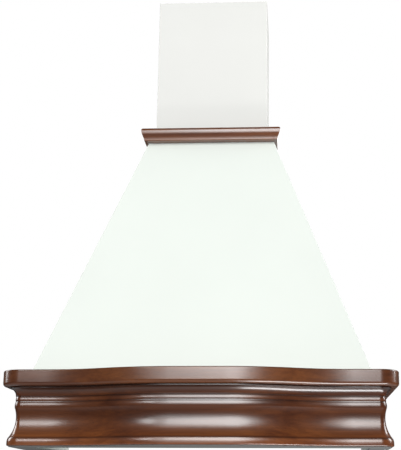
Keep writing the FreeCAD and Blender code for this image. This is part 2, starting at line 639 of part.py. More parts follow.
def flue(name, half, front, rear, low, high):
    """Flue cover: a tube whose wall side is open between two narrow returns."""
    gap = box(name + "_gap", (f"flue_return - ({half})", f"{half} - flue_return"),
              (f"-({rear}) - 2 * sheet", "past"), (f"{low} - past", f"{high} + past"))
    return cut(name, ring_of(name + "_tube", half, front, rear, low, high), gap, collar_hole_set)


piece(flue("lower", "flue_x", "flue_deep", "0", "ring_top", "flue_top"), "lower_flue")
piece(flue("upper", "flue_x - sheet - flue_play", "flue_deep - sheet - flue_play", "sheet + flue_play",
           "ring_top + lip_tall + seat_gap", "flue_top - upper_short"), "upper_flue")

bracket_parts = [box("bracket_strap", ("-bracket_half", "bracket_half"), ("-sheet", "0"),
                     ("bracket_z", "bracket_z + bracket_tall"))]
for side, sign in (("left", -1), ("right", 1)):
    ear = "flue_x - 2 * sheet - flue_play - seat_gap"
    for name, (low, high), y in (("post", ("bracket_half - sheet", "bracket_half"), ("-bracket_step", "0")),
                                 ("step", ("bracket_half - sheet", ear),
                                  ("-bracket_step - sheet", "-bracket_step")),
                                 ("ear", (f"{ear} - sheet", ear), ("-bracket_reach", "-bracket_step"))):
        span = (low, high) if sign > 0 else (f"-({high})", f"-({low})")
        bracket_parts.append(box(f"{side}_{name}", span, y, ("bracket_z", "bracket_z + bracket_tall")))
piece(cut("bracket", fuse("bracket_solid", *bracket_parts),
          *[rod(f"{side}_bracket_hole", "+Y", "bracket_hole_radius", "3 * sheet", f"{sign}bracket_hole_x",
                "-2 * sheet", "bracket_z + bracket_tall / 2")
            for side, sign in (("left", "-"), ("right", ""))]),
      "upper_flue_bracket")


def collar_section(name, rotation, x, y):
    section = section_sketch(name, [
        ("rail_in", "0"), ("collar_foot_in", "0"), ("collar_foot_in", "collar_foot_tall", "collar_cove", 1),
        ("bull_low_in", "bull_low", "collar_bull", -1), ("bull_top_in", "collar_tall"),
        ("rail_in", "collar_tall"),
    ])
    section.Placement = Placement(Vector(), rotation)
    place(section, x, y, "ring_top")
    return section


collar_zone = mitre_zone("collar_zone", "collar_half", "collar_front")
front_rail = extrude("front_rail", collar_section("front_rail_section", Rotation(Vector(1, 1, 1), 120),
                                                  "-collar_half", "-collar_front"),
                     "2 * collar_half", Vector(1, 0, 0))
piece(cut("collar_front", common("front_rail_mitred", front_rail, collar_zone), collar_hole_set),
      "front_collar_rail")
side_rail = extrude("side_rail", collar_section("side_rail_section", UPRIGHT, "-collar_half", "0"),
                    "collar_front", Vector(0, -1, 0))
side_rail_mitred = cut("side_rail_mitred", side_rail, collar_zone, collar_hole_set)
for side in halves:
    piece(mirrored(side_rail_mitred, "right_rail", side), f"{side}_collar_rail")
piece(group("collar_screw_set", collar_screws), "collar_screws")
piece(group("frame_screw_set", frame_screws), "frame_screws")
piece(group("trim_screw_set", trim_screws), "trim_screws")
piece(group("panel_screw_set", panel_screws), "panel_screws")

# ---------------------------------------------------------------- underside panel, filters

sides = {"left": "-", "right": ""}


def span_about(centre, half):
    return (f"{centre} - ({half})", f"{centre} + {half}")


def filter_opening(side, grow, low, high):
    """The space that a filter hangs in, made larger by grow on every side."""
    return box(f"{side}_opening_{low}".replace(" ", ""),
               span_about(f"{sides[side]}filter_x", f"filter_wide / 2 + filter_play + {grow}"),
               (f"filter_front - filter_play - ({grow})", f"filter_rear + swing_play + {grow}"), (low, high))


tray_outer = box("tray_outer", ("-skirt_in_x", "skirt_in_x"), ("-skirt_in_y", "-sheet"),
                 ("panel_z", "panel_top + panel_flange"))
tray_inner = box("tray_inner", ("sheet - skirt_in_x", "skirt_in_x - sheet"),
                 ("sheet - skirt_in_y", "-2 * sheet"), ("panel_top", "panel_top + panel_flange + past"))
lips = [filter_opening(side, "sheet", "panel_z", "panel_top + lip_high") for side in sides]
mouths = [filter_opening(side, "0", "panel_z - past", "panel_top + lip_high + past") for side in sides]
pivot_holes = [rod(f"{side}_pivot_hole", "+X", "pivot_radius + pivot_play", "filter_wide + 4 * pivot_long",
                   f"{sign}filter_x - filter_wide / 2 - 2 * pivot_long", "pivot_y", "pivot_z")
               for side, sign in sides.items()]
lamp_holes = [rod(f"{side}_lamp_hole", "+Z", "lamp_radius + seat_gap", "3 * sheet", f"{sign}lamp_x",
                  "-strip_y", "panel_z - sheet") for side, sign in sides.items()]
bezel_hole = box("bezel_hole", span_about("0", "bezel_body_wide / 2 + seat_gap"),
                 span_about("-strip_y", "bezel_body_deep / 2 + seat_gap"),
                 ("panel_z - past", "panel_top + past"))
piece(cut("tray", fuse("tray_solid", cut("tray_bent", tray_outer, tray_inner), *lips), *mouths,
          *pivot_holes, *lamp_holes, bezel_hole, panel_hole_set), "filter_panel")

for side, sign in sides.items():
    centre = f"{sign}filter_x"
    slab = box(f"{side}_filter_slab", span_about(centre, "filter_wide / 2"),
               ("filter_front", "filter_rear"), ("filter_low", "filter_low + filter_thick"))
    window = box(f"{side}_filter_window", span_about(centre, "filter_wide / 2 - filter_border"),
                 ("filter_front + filter_border", "filter_rear - filter_border"),
                 ("filter_low - past", "filter_low + filter_thick + past"))
    tuck = "filter_wide / 2 - filter_border + mesh_tuck"
    groove = box(f"{side}_filter_groove", span_about(centre, tuck),
                 ("filter_front + filter_border - mesh_tuck", "filter_rear - filter_border + mesh_tuck"),
                 ("pivot_z - mesh_thick / 2", "pivot_z + mesh_thick / 2"))
    pins = [rod(f"{side}_pivot_{end}", way, "pivot_radius", "pivot_long + past",
                f"{centre} {end} (filter_wide / 2 - past)", "pivot_y", "pivot_z")
            for end, way in (("-", "-X"), ("+", "+X"))]
    pull = box(f"{side}_pull", span_about(centre, "pull_wide / 2"),
               ("filter_front + pull_in - sheet", "filter_front + pull_in"),
               ("filter_low - pull_drop", "filter_low + past"))
    piece(fuse(f"{side}_filter", cut(f"{side}_filter_rim", slab, window, groove), pull, *pins),
          f"{side}_filter_frame")
    mesh_low, mesh_high = "pivot_z - mesh_thick / 2 + mesh_play", "pivot_z + mesh_thick / 2 - mesh_play"
    layers = [box(f"{side}_mesh_{layer}", span_about(centre, f"{tuck} - mesh_play"),
                  ("filter_front + filter_border - mesh_tuck + mesh_play",
                   "filter_rear - filter_border + mesh_tuck - mesh_play"), levels)
              for layer, levels in (("lower", (mesh_low, f"{mesh_low} + mesh_layer")),
                                    ("upper", (f"{mesh_high} - mesh_layer", mesh_high)))]
    piece(group(f"{side}_mesh", layers), f"{side}_filter_mesh")

# ---------------------------------------------------------------- lamps and push buttons

for side, sign in sides.items():
    centre = (f"{sign}lamp_x", "-strip_y")
    rim = rod(f"{side}_lamp_rim", "+Z", "lamp_rim", "lamp_rim_thick", *centre, "lamp_low")
    barrel = rod(f"{side}_lamp_barrel", "+Z", "lamp_radius", "lamp_tall", *centre, "panel_z - weld")
    hollow = rod(f"{side}_lamp_hollow", "+Z", "lens_radius + seat_gap", "lamp_tall - sheet", *centre,
                 "lamp_low - past")
    seat = rod(f"{side}_lens_seat", "+Z", "lens_radius + seat_gap", "2 * sheet", *centre,
               "lens_seat_z")
    seat_hole = rod(f"{side}_lens_seat_hole", "+Z", "lens_radius - 2 * sheet", "4 * sheet", *centre,
                    "lens_seat_z - past")
    ledge = cut(f"{side}_lens_ledge", seat, seat_hole)
    shell = cut(f"{side}_lamp_shell", fuse(f"{side}_lamp_solid", rim, barrel), hollow)
    piece(fuse(f"{side}_lamp_body", shell, ledge), f"{side}_lamp_can")
    piece(rod(f"{side}_lens", "+Z", "lens_radius", "lens_thick", *centre, "lamp_low + lens_recess"),
          f"{side}_lamp_lens")

button_names = ["off_button", "low_speed_button", "medium_speed_button", "high_speed_button", "light_button"]
strip = "-strip_y"
bezel_plate = box("bezel_plate", span_about("0", "bezel_wide / 2"), span_about(strip, "bezel_deep / 2"),
                  ("bezel_low", "panel_z"))
bezel_body = box("bezel_body", span_about("0", "bezel_body_wide / 2"),
                 span_about(strip, "bezel_body_deep / 2"), ("panel_z - weld", "bezel_top"))
bezel_hollow = box("bezel_hollow", span_about("0", "bezel_body_wide / 2 - bezel_wall"),
                   span_about(strip, "bezel_body_deep / 2 - bezel_wall"), ("panel_z", "bezel_top + past"))
button_holes, stem_holes = [], []
for index, name in enumerate(button_names):
    x = f"{index - 2} * button_pitch"
    button_holes.append(box(name + "_hole", span_about(x, "button_wide / 2 + button_play"),
                            span_about(strip, "button_deep / 2 + button_play"),
                            ("bezel_low - past", "panel_z + past")))
    stem_holes.append(box(name + "_stem_hole", span_about(x, "stem_wide / 2 + button_play"),
                          span_about(strip, "stem_deep / 2 + button_play"),
                          ("bezel_top - past", "stem_low + stem_room")))
    cap = box(name + "_cap", span_about(x, "button_wide / 2"), span_about(strip, "button_deep / 2"),
              ("bezel_low - button_proud", "stem_low"))
    brim = box(name + "_brim", span_about(x, "button_wide / 2 + button_flange"),
               span_about(strip, "button_deep / 2 + button_flange"), ("flange_rest", "stem_low"))
    stem = box(name + "_stem", span_about(x, "stem_wide / 2"), span_about(strip, "stem_deep / 2"),
               ("stem_low", "stem_low + stem_tall"))
    piece(fuse(name + "_solid", cap, brim, stem), name)
piece(cut("bezel", fuse("bezel_solid", bezel_plate, bezel_body), bezel_hollow, *button_holes),
      "control_bezel")
switch_block = box("switch_block", span_about("0", "bezel_body_wide / 2"),
                   span_about(strip, "bezel_body_deep / 2"), ("bezel_top", "bezel_top + switch_tall"))
piece(cut("switch", switch_block, *stem_holes), "switch_body")

# ---------------------------------------------------------------- blower


def scroll_outline(name, radius, inset, x, long, top):
    """Round scroll with its square outlet rising at the back."""
    drum = rod(name + "_drum", "+X", radius, long, x, "-scroll_y", "scroll_z")
    duct = box(name + "_duct", (x, f"{x} + {long}"), (f"outlet_front + {inset}", f"scroll_rear - {inset}"),
               ("scroll_z", top))
    return fuse(name, drum, duct)


piece(cut("wrap", scroll_outline("wrap_outer", "scroll_radius", "0", "-scroll_half", "2 * scroll_half",
                                 "outlet_z"),
          scroll_outline("wrap_inner", "scroll_radius - sheet", "sheet", "-scroll_half",
                         "2 * scroll_half", "outlet_z + past")), "scroll_wrap")
cheek = cut("cheek", scroll_outline("cheek_outline", "scroll_radius", "0", "-scroll_half - sheet", "sheet",
                                    "outlet_z"),
            rod("inlet", "+X", "inlet_radius", "3 * sheet", "-scroll_half - 2 * sheet", "-scroll_y",
                "scroll_z"))
for side in sides:
    piece(mirrored(cheek, "right_cheek", side), f"{side}_scroll_cheek")

hanger_z = ("hanger_low", "hanger_low + hanger_tall")
hanger_parts = [box("hanger_web", ("-hanger_half", "hanger_half"), ("scroll_rear", "scroll_rear + sheet"),
                    hanger_z)]
for side, inner, outer, toe in (("left", "sheet - hanger_half", "-hanger_half", "-hanger_half - hanger_foot"),
                                ("right", "hanger_half - sheet", "hanger_half", "hanger_half + hanger_foot")):
    wall, foot = ((outer, inner), (toe, outer)) if side == "left" else ((inner, outer), (outer, toe))
    hanger_parts.append(box(f"{side}_hanger_wall", wall, ("scroll_rear", "-sheet"), hanger_z))
    hanger_parts.append(box(f"{side}_hanger_foot", foot, ("-2 * sheet", "-sheet"), hanger_z))
piece(fuse("hanger", *hanger_parts), "blower_hanger")


def about_fan(name, made, angle):
    """A piece drawn about the X axis, turned by this angle and moved onto the fan's axis."""
    turned = group(name, [made])
    turned.Placement = Placement(Vector(), Rotation(Vector(1, 0, 0), angle))
    place(turned, "0", "-scroll_y", "scroll_z")
    return turned


def fan_rod(name, radius, low, high):
    return rod(name, "+X", radius, f"{high} - ({low})", low, "-scroll_y", "scroll_z")


piece(cut("stator", fan_rod("motor_can", "motor_radius", "-motor_far", "-motor_near"),
          fan_rod("motor_bore", "shaft_radius + shaft_play", "-motor_far - past", "0")), "motor")
spider_x = ("-scroll_half - 2 * sheet", "-scroll_half - sheet")
arm = box("arm", spider_x, span_about("0", "spider_arm / 2"), ("0", "spider_reach"))
piece(fuse("spider", fan_rod("spider_plate", "spider_disc", *spider_x),
           fan_rod("spider_boss", "boss_radius", spider_x[0], "-motor_far"),
           *[about_fan(f"arm_{angle}", arm, angle) for angle in (0, 120, 240)]), "motor_bracket")
piece(fan_rod("shaft", "shaft_radius", "-shaft_far", "shaft_near"), "motor_shaft")


def fan_ring(name, inner, low, high):
    return cut(name, fan_rod(name + "_disc", "fan_radius", low, high),
               fan_rod(name + "_hole", inner, f"{low} - past", f"{high} + past"))


blade = box("blade", ("-fan_half", "fan_half"), span_about("0", "blade_thick / 2"),
            ("fan_inner + blade_in", "fan_radius - blade_in"))
blades = [about_fan(f"blade_{number}", blade, 360 * number / v.blade_count)
          for number in range(int(v.blade_count))]
piece(cut("wheel", fuse("wheel_solid", fan_rod("wheel_disc", "fan_radius", "-sheet / 2", "sheet / 2"),
                        fan_rod("hub", "hub_radius", "-sheet / 2", "hub_long"),
                        fan_ring("left_ring", "fan_inner", "-fan_half", "-fan_half + sheet"),
                        fan_ring("right_ring", "fan_inner", "fan_half - sheet", "fan_half"), *blades),
          fan_rod("hub_bore", "shaft_radius + hub_play", "-sheet", "hub_long + past")), "impeller")

# ---------------------------------------------------------------- outlet spigot and damper

axis_point = ("0", "outlet_y")
spigot_plate = box("spigot_plate", ("-scroll_half", "scroll_half"), ("outlet_front", "scroll_rear"),
                   ("outlet_z", "outlet_z + sheet"))
spigot_tube = rod("spigot_tube", "+Z", "spigot_radius", "spigot_tall", *axis_point, "outlet_z + sheet")
spigot_bore = rod("spigot_bore", "+Z", "spigot_radius - sheet", "spigot_tall + 4 * sheet", *axis_point,
                  "outlet_z - sheet")
ledge_top = "flap_z - flap_thick / 2 - seat_gap"
flap_ledge = cut("flap_ledge", rod("ledge_disc", "+Z", "spigot_radius - sheet / 2", "ledge_thick",
                                   *axis_point, f"{ledge_top} - ledge_thick"),
                 rod("ledge_hole", "+Z", "spigot_radius - sheet - ledge_wide", "3 * ledge_thick",
                     *axis_point, f"{ledge_top} - 2 * ledge_thick"))
damper_hole = rod("damper_hole", "+X", "damper_pin_radius + damper_play", "3 * spigot_radius",
                  "-1.5 * spigot_radius", "outlet_y", "flap_z")
piece(cut("spigot", fuse("spigot_solid", cut("spigot_open", fuse("spigot_blank", spigot_plate, spigot_tube),
                                             spigot_bore), flap_ledge), damper_hole), "outlet_spigot")
piece(rod("damper_bar", "+X", "damper_pin_radius", "2 * spigot_radius - 4 * damper_play",
          "2 * damper_play - spigot_radius", "outlet_y", "flap_z"), "damper_pin")
for name, sign, starts in (("front", -1, (-2, 0)), ("rear", 1, (-1, 1))):
    near, far = f"outlet_y + {sign} * flap_from_axis", f"outlet_y + {2 * sign} * spigot_radius"
    web_end = f"outlet_y + {sign} * (knuckle_radius - web_sink)"
    half_space = box(f"{name}_flap_zone", ("-spigot_radius", "spigot_radius"),
                     (far, near) if sign < 0 else (near, far), ("outlet_z", "outlet_z + 2 * spigot_tall"))
    leaf = common(f"{name}_leaf", rod(f"{name}_leaf_disc", "+Z", "flap_radius", "flap_thick", *axis_point,
                                      "flap_z - flap_thick / 2"), half_space)
    knuckles = []
    for count, start in enumerate(starts):
        x = f"{start} * (knuckle_long + knuckle_gap) + knuckle_gap / 2"
        knuckles.append(rod(f"{name}_knuckle_{count}", "+X", "knuckle_radius", "knuckle_long", x, "outlet_y",
                            "flap_z"))
        edge = f"outlet_y + {sign} * (flap_from_axis + past)"
        knuckles.append(box(f"{name}_web_{count}", (x, f"{x} + knuckle_long"),
                            (edge, web_end) if sign < 0 else (web_end, edge),
                            ("flap_z - flap_thick / 2", "flap_z + flap_thick / 2")))
    piece(cut(f"{name}_flap", fuse(f"{name}_flap_solid", leaf, *knuckles), damper_hole),
          f"{name}_damper_flap")

# ---------------------------------------------------------------- electrics on the back plate

terminal_x = span_about("terminal_x", "terminal_wide / 2")
terminal_z = ("terminal_z", "terminal_z + terminal_tall")
terminal_front = "-sheet - terminal_deep"
terminal_block = box("terminal_block", terminal_x, (terminal_front, "-sheet"), terminal_z)
terminal_hollow = box("terminal_hollow", span_about("terminal_x", "terminal_wide / 2 - terminal_wall"),
                      (f"{terminal_front} - past", "-sheet - terminal_wall"),
                      ("terminal_z + terminal_wall", "terminal_z + terminal_tall - terminal_wall"))
gland_at = ("terminal_x", "-sheet - terminal_deep / 2")
gland_foot = "terminal_z + terminal_tall"
gland_hole = rod("gland_hole", "+Z", "gland_radius - gland_step", "4 * terminal_wall", *gland_at,
                 f"{gland_foot} - 2 * terminal_wall")
piece(cut("terminal", terminal_block, terminal_hollow, gland_hole), "terminal_box")
piece(box("terminal_cover", terminal_x, (f"{terminal_front} - lid_thick", terminal_front), terminal_z),
      "terminal_box_lid")
gland_head = rod("gland_head", "+Z", "gland_radius", "gland_long", *gland_at, gland_foot)
gland_neck = rod("gland_neck", "+Z", "gland_radius - gland_step - screw_play", "2 * terminal_wall", *gland_at,
                 f"{gland_foot} - 2 * terminal_wall + weld")
gland_bore = rod("gland_bore", "+Z", "gland_radius / 2", "gland_long + 6 * terminal_wall", *gland_at,
                 f"{gland_foot} - 3 * terminal_wall")
piece(cut("gland", fuse("gland_solid", gland_head, gland_neck), gland_bore), "cable_gland")
piece(rod("capacitor_can", "-Y", "capacitor_radius", "capacitor_long", "capacitor_x", "-sheet",
          "capacitor_z"), "capacitor")

# ---------------------------------------------------------------- check and write

doc.recompute()
for made in doc.Objects:
    if "Invalid" in made.State or "Error" in made.State:
        raise RuntimeError(f"{made.Name} failed: {made.State}")
for made in nodes:
    if made.Shape.isNull() or not made.Shape.isValid():
        raise RuntimeError(f"{made.Label} has no valid shape")
os.makedirs("parts", exist_ok=True)
for made in nodes:
    made.Shape.exportStep(f"parts/{made.Label}.step")
print(len(nodes), "pieces")
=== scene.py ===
import json
import math

import bmesh
import bpy
from mathutils import Matrix, Vector


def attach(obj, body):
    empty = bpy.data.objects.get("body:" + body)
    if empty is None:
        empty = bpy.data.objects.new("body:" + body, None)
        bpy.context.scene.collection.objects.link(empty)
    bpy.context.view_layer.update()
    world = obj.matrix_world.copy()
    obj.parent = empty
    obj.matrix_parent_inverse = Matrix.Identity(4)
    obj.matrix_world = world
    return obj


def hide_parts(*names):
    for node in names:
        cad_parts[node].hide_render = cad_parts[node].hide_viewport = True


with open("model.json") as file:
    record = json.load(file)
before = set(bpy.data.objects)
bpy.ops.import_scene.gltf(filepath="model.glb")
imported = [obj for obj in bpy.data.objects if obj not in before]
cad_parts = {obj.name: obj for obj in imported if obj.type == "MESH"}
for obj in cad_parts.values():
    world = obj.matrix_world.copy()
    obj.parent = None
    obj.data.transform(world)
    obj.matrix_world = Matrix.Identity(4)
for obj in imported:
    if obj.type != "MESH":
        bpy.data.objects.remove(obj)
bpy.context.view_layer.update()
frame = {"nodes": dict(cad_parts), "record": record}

MM = 0.001
X, Y, Z = Vector((1, 0, 0)), Vector((0, 1, 0)), Vector((0, 0, 1))

# ------------------------------------------------------------------ finishes


class Finish:
    """A material that is built up from patterns on Object coordinates."""

    def __init__(self, name, **fixed):
        self.material = bpy.data.materials.new(name)
        self.material.use_nodes = True
        self.tree = self.material.node_tree
        self.shader = self.tree.nodes["Principled BSDF"]
        self.place = self.node("ShaderNodeTexCoord").outputs["Object"]
        self.set(self.shader, fixed)

    def set(self, node, sockets):
        for socket, value in sockets.items():
            socket = node.inputs[socket.replace("_", " ") if isinstance(socket, str) else socket]
            if isinstance(value, bpy.types.NodeSocket):
                self.tree.links.new(value, socket)
            else:
                socket.default_value = value

    def node(self, kind, sockets=None, **settings):
        made = self.tree.nodes.new(kind)
        for setting, value in settings.items():
            setattr(made, setting, value)
        self.set(made, sockets or {})
        return made

    def stretched(self, scale, turn=(0, 0, 0), shift=(0, 0, 0)):
        return self.node("ShaderNodeMapping", {"Vector": self.place, "Scale": scale, "Rotation": turn,
                                               "Location": shift}).outputs[0]

    def noise(self, vector, scale, detail=4.0, rough=0.55, distortion=0.0):
        return self.node("ShaderNodeTexNoise", {"Vector": vector, "Scale": scale, "Detail": detail,
                                                "Roughness": rough, "Distortion": distortion}).outputs["Fac"]

    def cells(self, vector, scale):
        return self.node("ShaderNodeTexVoronoi", {"Vector": vector, "Scale": scale}).outputs["Color"]

    def span(self, fac, from_low, from_high, low, high):
        return self.node("ShaderNodeMapRange", {"Value": fac, "From_Min": from_low, "From_Max": from_high,
                                                "To_Min": low, "To_Max": high}).outputs[0]

    def ramp(self, fac, *stops):
        made = self.node("ShaderNodeValToRGB", {"Fac": fac})
        elements = made.color_ramp.elements
        while len(elements) < len(stops):
            elements.new(0.5)
        for element, (position, colour) in zip(elements, stops):
            element.position = position
            element.color = (*colour, 1)
        return made.outputs["Color"]

    def mix(self, fac, first, second, blend="MIX"):
        made = self.node("ShaderNodeMix", {0: fac}, data_type="RGBA", blend_type=blend)
        self.set(made, {6: first, 7: second})
        return made.outputs[2]

    def sum(self, first, second, operation="ADD"):
        return self.node("ShaderNodeMath", {0: first, 1: second}, operation=operation).outputs[0]

    def bump(self, height, strength, distance):
        return self.node("ShaderNodeBump", {"Height": height, "Strength": strength,
                                            "Distance": distance}).outputs[0]

    def wear(self, **linked):
        self.set(self.shader, linked)
        return self.material


# how light a moulding's colour is at heights in mm within a span: darker stain kept in the quirks, plus painted
# shade that darkens the scotia's top and the cove under the board's overhang, so the foot is lightest as if lit
GLAZE_AND_SHADE_SPAN = 140
GLAZE_AND_SHADE = ((0, 1.0), (15, 1.0), (19, 0.38), (23, 0.92), (45, 0.68), (70, 0.48), (97, 0.52), (101, 0.22), (104, 0.60),
         (108.5, 0.60), (112.5, 0.18), (115.5, 0.50), (121, 0.44), (131, 0.16))


def stained_wood(name, along, shift, tone, glazed_and_shaded=False):
    """Walnut-stained lacquered wood; along is the grain's axis and tone how light the board is.

    On a moulding the colour also changes with height: darker stain in the quirks, and painted shade on the scotia's
    top and in the cove under the board, so the foot is the lightest part."""
    wood = Finish(name, Coat_Weight=1.0, Coat_Roughness=0.22, Coat_IOR=1.6, Specular_IOR_Level=0.12)

    def grain(long, across):
        return wood.stretched(tuple(long if axis == along else across for axis in "XYZ"), shift=shift)

    cloud = wood.noise(grain(0.9, 3.0), 1.7, 3, 0.5, 0.2)
    streak = wood.noise(grain(0.8, 17.0), 3.0, 6, 0.58, 0.25)
    fine = wood.noise(grain(3.0, 120.0), 2.0, 4, 0.6)
    pores = wood.noise(grain(9.0, 330.0), 2.0, 2, 0.5)
    figure = wood.sum(wood.sum(cloud, 0.45, "MULTIPLY"), wood.sum(streak, 0.55, "MULTIPLY"))
    colour = wood.ramp(figure, (0.34, (0.034 * tone, 0.0078 * tone, 0.0018 * tone)),
                       (0.47, (0.062 * tone, 0.0160 * tone, 0.0032 * tone)),
                       (0.56, (0.084 * tone, 0.0235 * tone, 0.0046 * tone)),
                       (0.68, (0.112 * tone, 0.0330 * tone, 0.0064 * tone)))
    colour = wood.mix(1.0, colour, wood.span(fine, 0.30, 0.70, 0.86, 1.10), "MULTIPLY")
    colour = wood.mix(1.0, colour, wood.span(pores, 0.30, 0.42, 0.70, 1.0), "MULTIPLY")
    if glazed_and_shaded:
        # painted shade: the colour darkens by height, as stain in the quirks and as shade under the board's overhang
        height = wood.node("ShaderNodeSeparateXYZ", {"Vector": wood.place}).outputs["Z"]
        stops = [(spot / GLAZE_AND_SHADE_SPAN, (tint, tint ** 1.15, tint ** 1.3)) for spot, tint in GLAZE_AND_SHADE]
        colour = wood.mix(1.0, colour, wood.ramp(wood.span(height, 0.0, GLAZE_AND_SHADE_SPAN * MM, 0.0, 1.0), *stops),
                          "MULTIPLY")
    return wood.wear(Base_Color=colour, Roughness=wood.span(streak, 0.3, 0.7, 0.40, 0.48),
                     Normal=wood.bump(wood.sum(pores, wood.sum(fine, 0.5, "MULTIPLY")), 0.05, 0.0003))


def raw_wood():
    wood = Finish("raw_wood_finish", Roughness=0.75)
    grain = wood.stretched((3, 30, 30))
    streak = wood.noise(grain, 4, 6, 0.6, 0.5)
    colour = wood.ramp(streak, (0.3, (0.30, 0.17, 0.08)), (0.7, (0.52, 0.34, 0.18)))
    return wood.wear(Base_Color=colour, Normal=wood.bump(streak, 0.25, 0.0006))


def enamel(name, colour, rough):
    """Sprayed and baked paint: an even colour with a faint orange peel."""
    paint = Finish(name, Specular_IOR_Level=0.22)
    cloud = paint.noise(paint.place, 3.0, 3, 0.5)
    skin = paint.noise(paint.place, 420, 2, 0.5)
    lighter = tuple(min(1.0, 1.012 * c) for c in colour)
    darker = tuple(0.985 * c for c in colour)
    return paint.wear(Base_Color=paint.ramp(cloud, (0.35, darker), (0.65, lighter)),
                      Roughness=paint.span(cloud, 0.3, 0.7, rough - 0.04, rough + 0.04),
                      Normal=paint.bump(skin, 0.10, 0.0003))


def bare_metal(name, colour, rough, brushed=None, spangle=False):
    """Metal with a brushed, rolled or spangled surface; brushed is the axis that the lines run along."""
    metal = Finish(name, Metallic=1.0)
    depth, spread = (0.90, 0.02) if spangle else (0.80, 0.065)
    if spangle:
        tone = metal.cells(metal.place, 130)
        height = metal.noise(metal.place, 300, 2)
    else:
        scale = tuple(14.0 if axis == brushed else 600.0 for axis in "XYZ") if brushed else (90, 90, 90)
        height = tone = metal.noise(metal.stretched(scale), 1.0, 4, 0.6)
    darker = tuple(depth * c for c in colour)
    return metal.wear(Base_Color=metal.ramp(tone, (0.3, darker), (0.7, colour)),
                      Roughness=metal.span(tone, 0.3, 0.7, rough - spread, rough + spread),
                      Normal=metal.bump(height, 0.08, 0.0002))


def plastic(name, colour, rough, grain=900, **fixed):
    """Moulded plastic with a fine spark-eroded grain."""
    made = Finish(name, **fixed)
    skin = made.noise(made.place, grain, 2, 0.5)
    cloud = made.noise(made.place, 25, 3)
    lighter = tuple(min(1.0, 1.12 * c + 0.002) for c in colour)
    return made.wear(Base_Color=made.ramp(cloud, (0.35, colour), (0.68, lighter)),
                     Roughness=made.span(skin, 0.3, 0.7, rough - 0.05, rough + 0.08),
                     Normal=made.bump(skin, 0.15, 0.0002))


WOOD = {
    "front_board": stained_wood("stain_front_board", "X", (0.31, 0.12, 0.05), 1.0),
    "side_board": stained_wood("stain_side_board", "Y", (0.77, 0.41, 0.33), 0.95),
    "front_moulding": stained_wood("stain_and_shade_front_moulding", "X", (1.37, 0.52, 0.71), 1.50, glazed_and_shaded=True),
    "side_moulding": stained_wood("stain_and_shade_side_moulding", "Y", (2.11, 1.05, 0.18), 1.45, glazed_and_shaded=True),
    "front_rail": stained_wood("stain_front_rail", "X", (3.17, 0.22, 0.93), 1.45),
    "side_rail": stained_wood("stain_side_rail", "Y", (4.51, 0.63, 0.27), 1.20),
}
UNSTAINED = raw_wood()
BODY_WHITE = enamel("white_enamel", (0.628, 0.663, 0.622), 0.70)
FLUE_WHITE = enamel("flue_enamel", (0.598, 0.600, 0.577), 0.70)
GREY_PAINT = enamel("grey_enamel", (0.115, 0.114, 0.110), 0.5)
GALVANISED = bare_metal("zinc_coat", (0.58, 0.60, 0.62), 0.42, spangle=True)
STEEL = bare_metal("plated_steel", (0.66, 0.66, 0.67), 0.28)
MOTOR_BLACK = enamel("black_motor_paint", (0.016, 0.016, 0.018), 0.40)
ALUMINIUM = bare_metal("rolled_aluminium", (0.76, 0.77, 0.78), 0.30, brushed="X")
CHROME = bare_metal("lamp_chrome", (0.86, 0.87, 0.88), 0.12)
BLACK = plastic("black_moulding", (0.018, 0.018, 0.019), 0.42)
GREY = plastic("grey_moulding", (0.30, 0.31, 0.32), 0.5)
BEZEL = plastic("bezel_moulding", (0.045, 0.045, 0.048), 0.35)
CAPS = plastic("button_moulding", (0.60, 0.60, 0.59), 0.32)
MARKS = plastic("mark_print", (0.03, 0.03, 0.03), 0.5)
FROSTED = plastic("frosted_glass", (0.86, 0.88, 0.88), 0.35, grain=1500, Transmission_Weight=0.75, IOR=1.47)

# ------------------------------------------------------------------ making pieces


def finished(bm, name, body, slot, material, stands_for=(), sharp=32):
    """Turns a bmesh into a piece of the hood that rides on a body; edges over sharp degrees stay crisp."""
    mesh = bpy.data.meshes.new(name)
    bm.normal_update()
    bm.to_mesh(mesh)
    bm.free()
    mesh.materials.append(material)
    mesh.shade_smooth()
    mesh.set_sharp_from_angle(angle=math.radians(sharp))
    made = bpy.data.objects.new(name, mesh)
    bpy.context.scene.collection.objects.link(made)
    flat = made.modifiers.new("flat_faces", "WEIGHTED_NORMAL")
    flat.keep_sharp = True
    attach(made, body)
    if stands_for:
        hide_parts(*stands_for)


def points_of(geom):
    return [g for g in geom if isinstance(g, bmesh.types.BMVert)]


def drawn_out(bm, edges):
    """Extrudes edges where they are; returns the new edges and their points."""
    made = bmesh.ops.extrude_edge_only(bm, edges=edges)["geom"]
    points = points_of(made)
    ends = set(points)
    return [g for g in made if isinstance(g, bmesh.types.BMEdge) and ends.issuperset(g.verts)], points


def move_on(bm, front, step):
    """Extrudes a front of points or edges along a straight step, and returns the new front."""
    if isinstance(front[0], bmesh.types.BMVert):
        front = points = bmesh.ops.extrude_vert_indiv(bm, verts=front)["verts"]
    else:
        front, points = drawn_out(bm, front)
    bmesh.ops.translate(bm, verts=points, vec=Vector(step) * MM)
    return front


def turn_on(bm, front, centre, axis, degrees, steps):
    """Spins a front of points or edges about an axis, and returns the new front."""
    kind = type(front[0])
    points = [] if kind is bmesh.types.BMVert else list({v for e in front for v in e.verts})
    made = bmesh.ops.spin(bm, geom=front + points, cent=Vector(centre) * MM, axis=axis,
                          angle=math.radians(degrees), steps=steps)["geom_last"]
    return [g for g in made if isinstance(g, kind)]


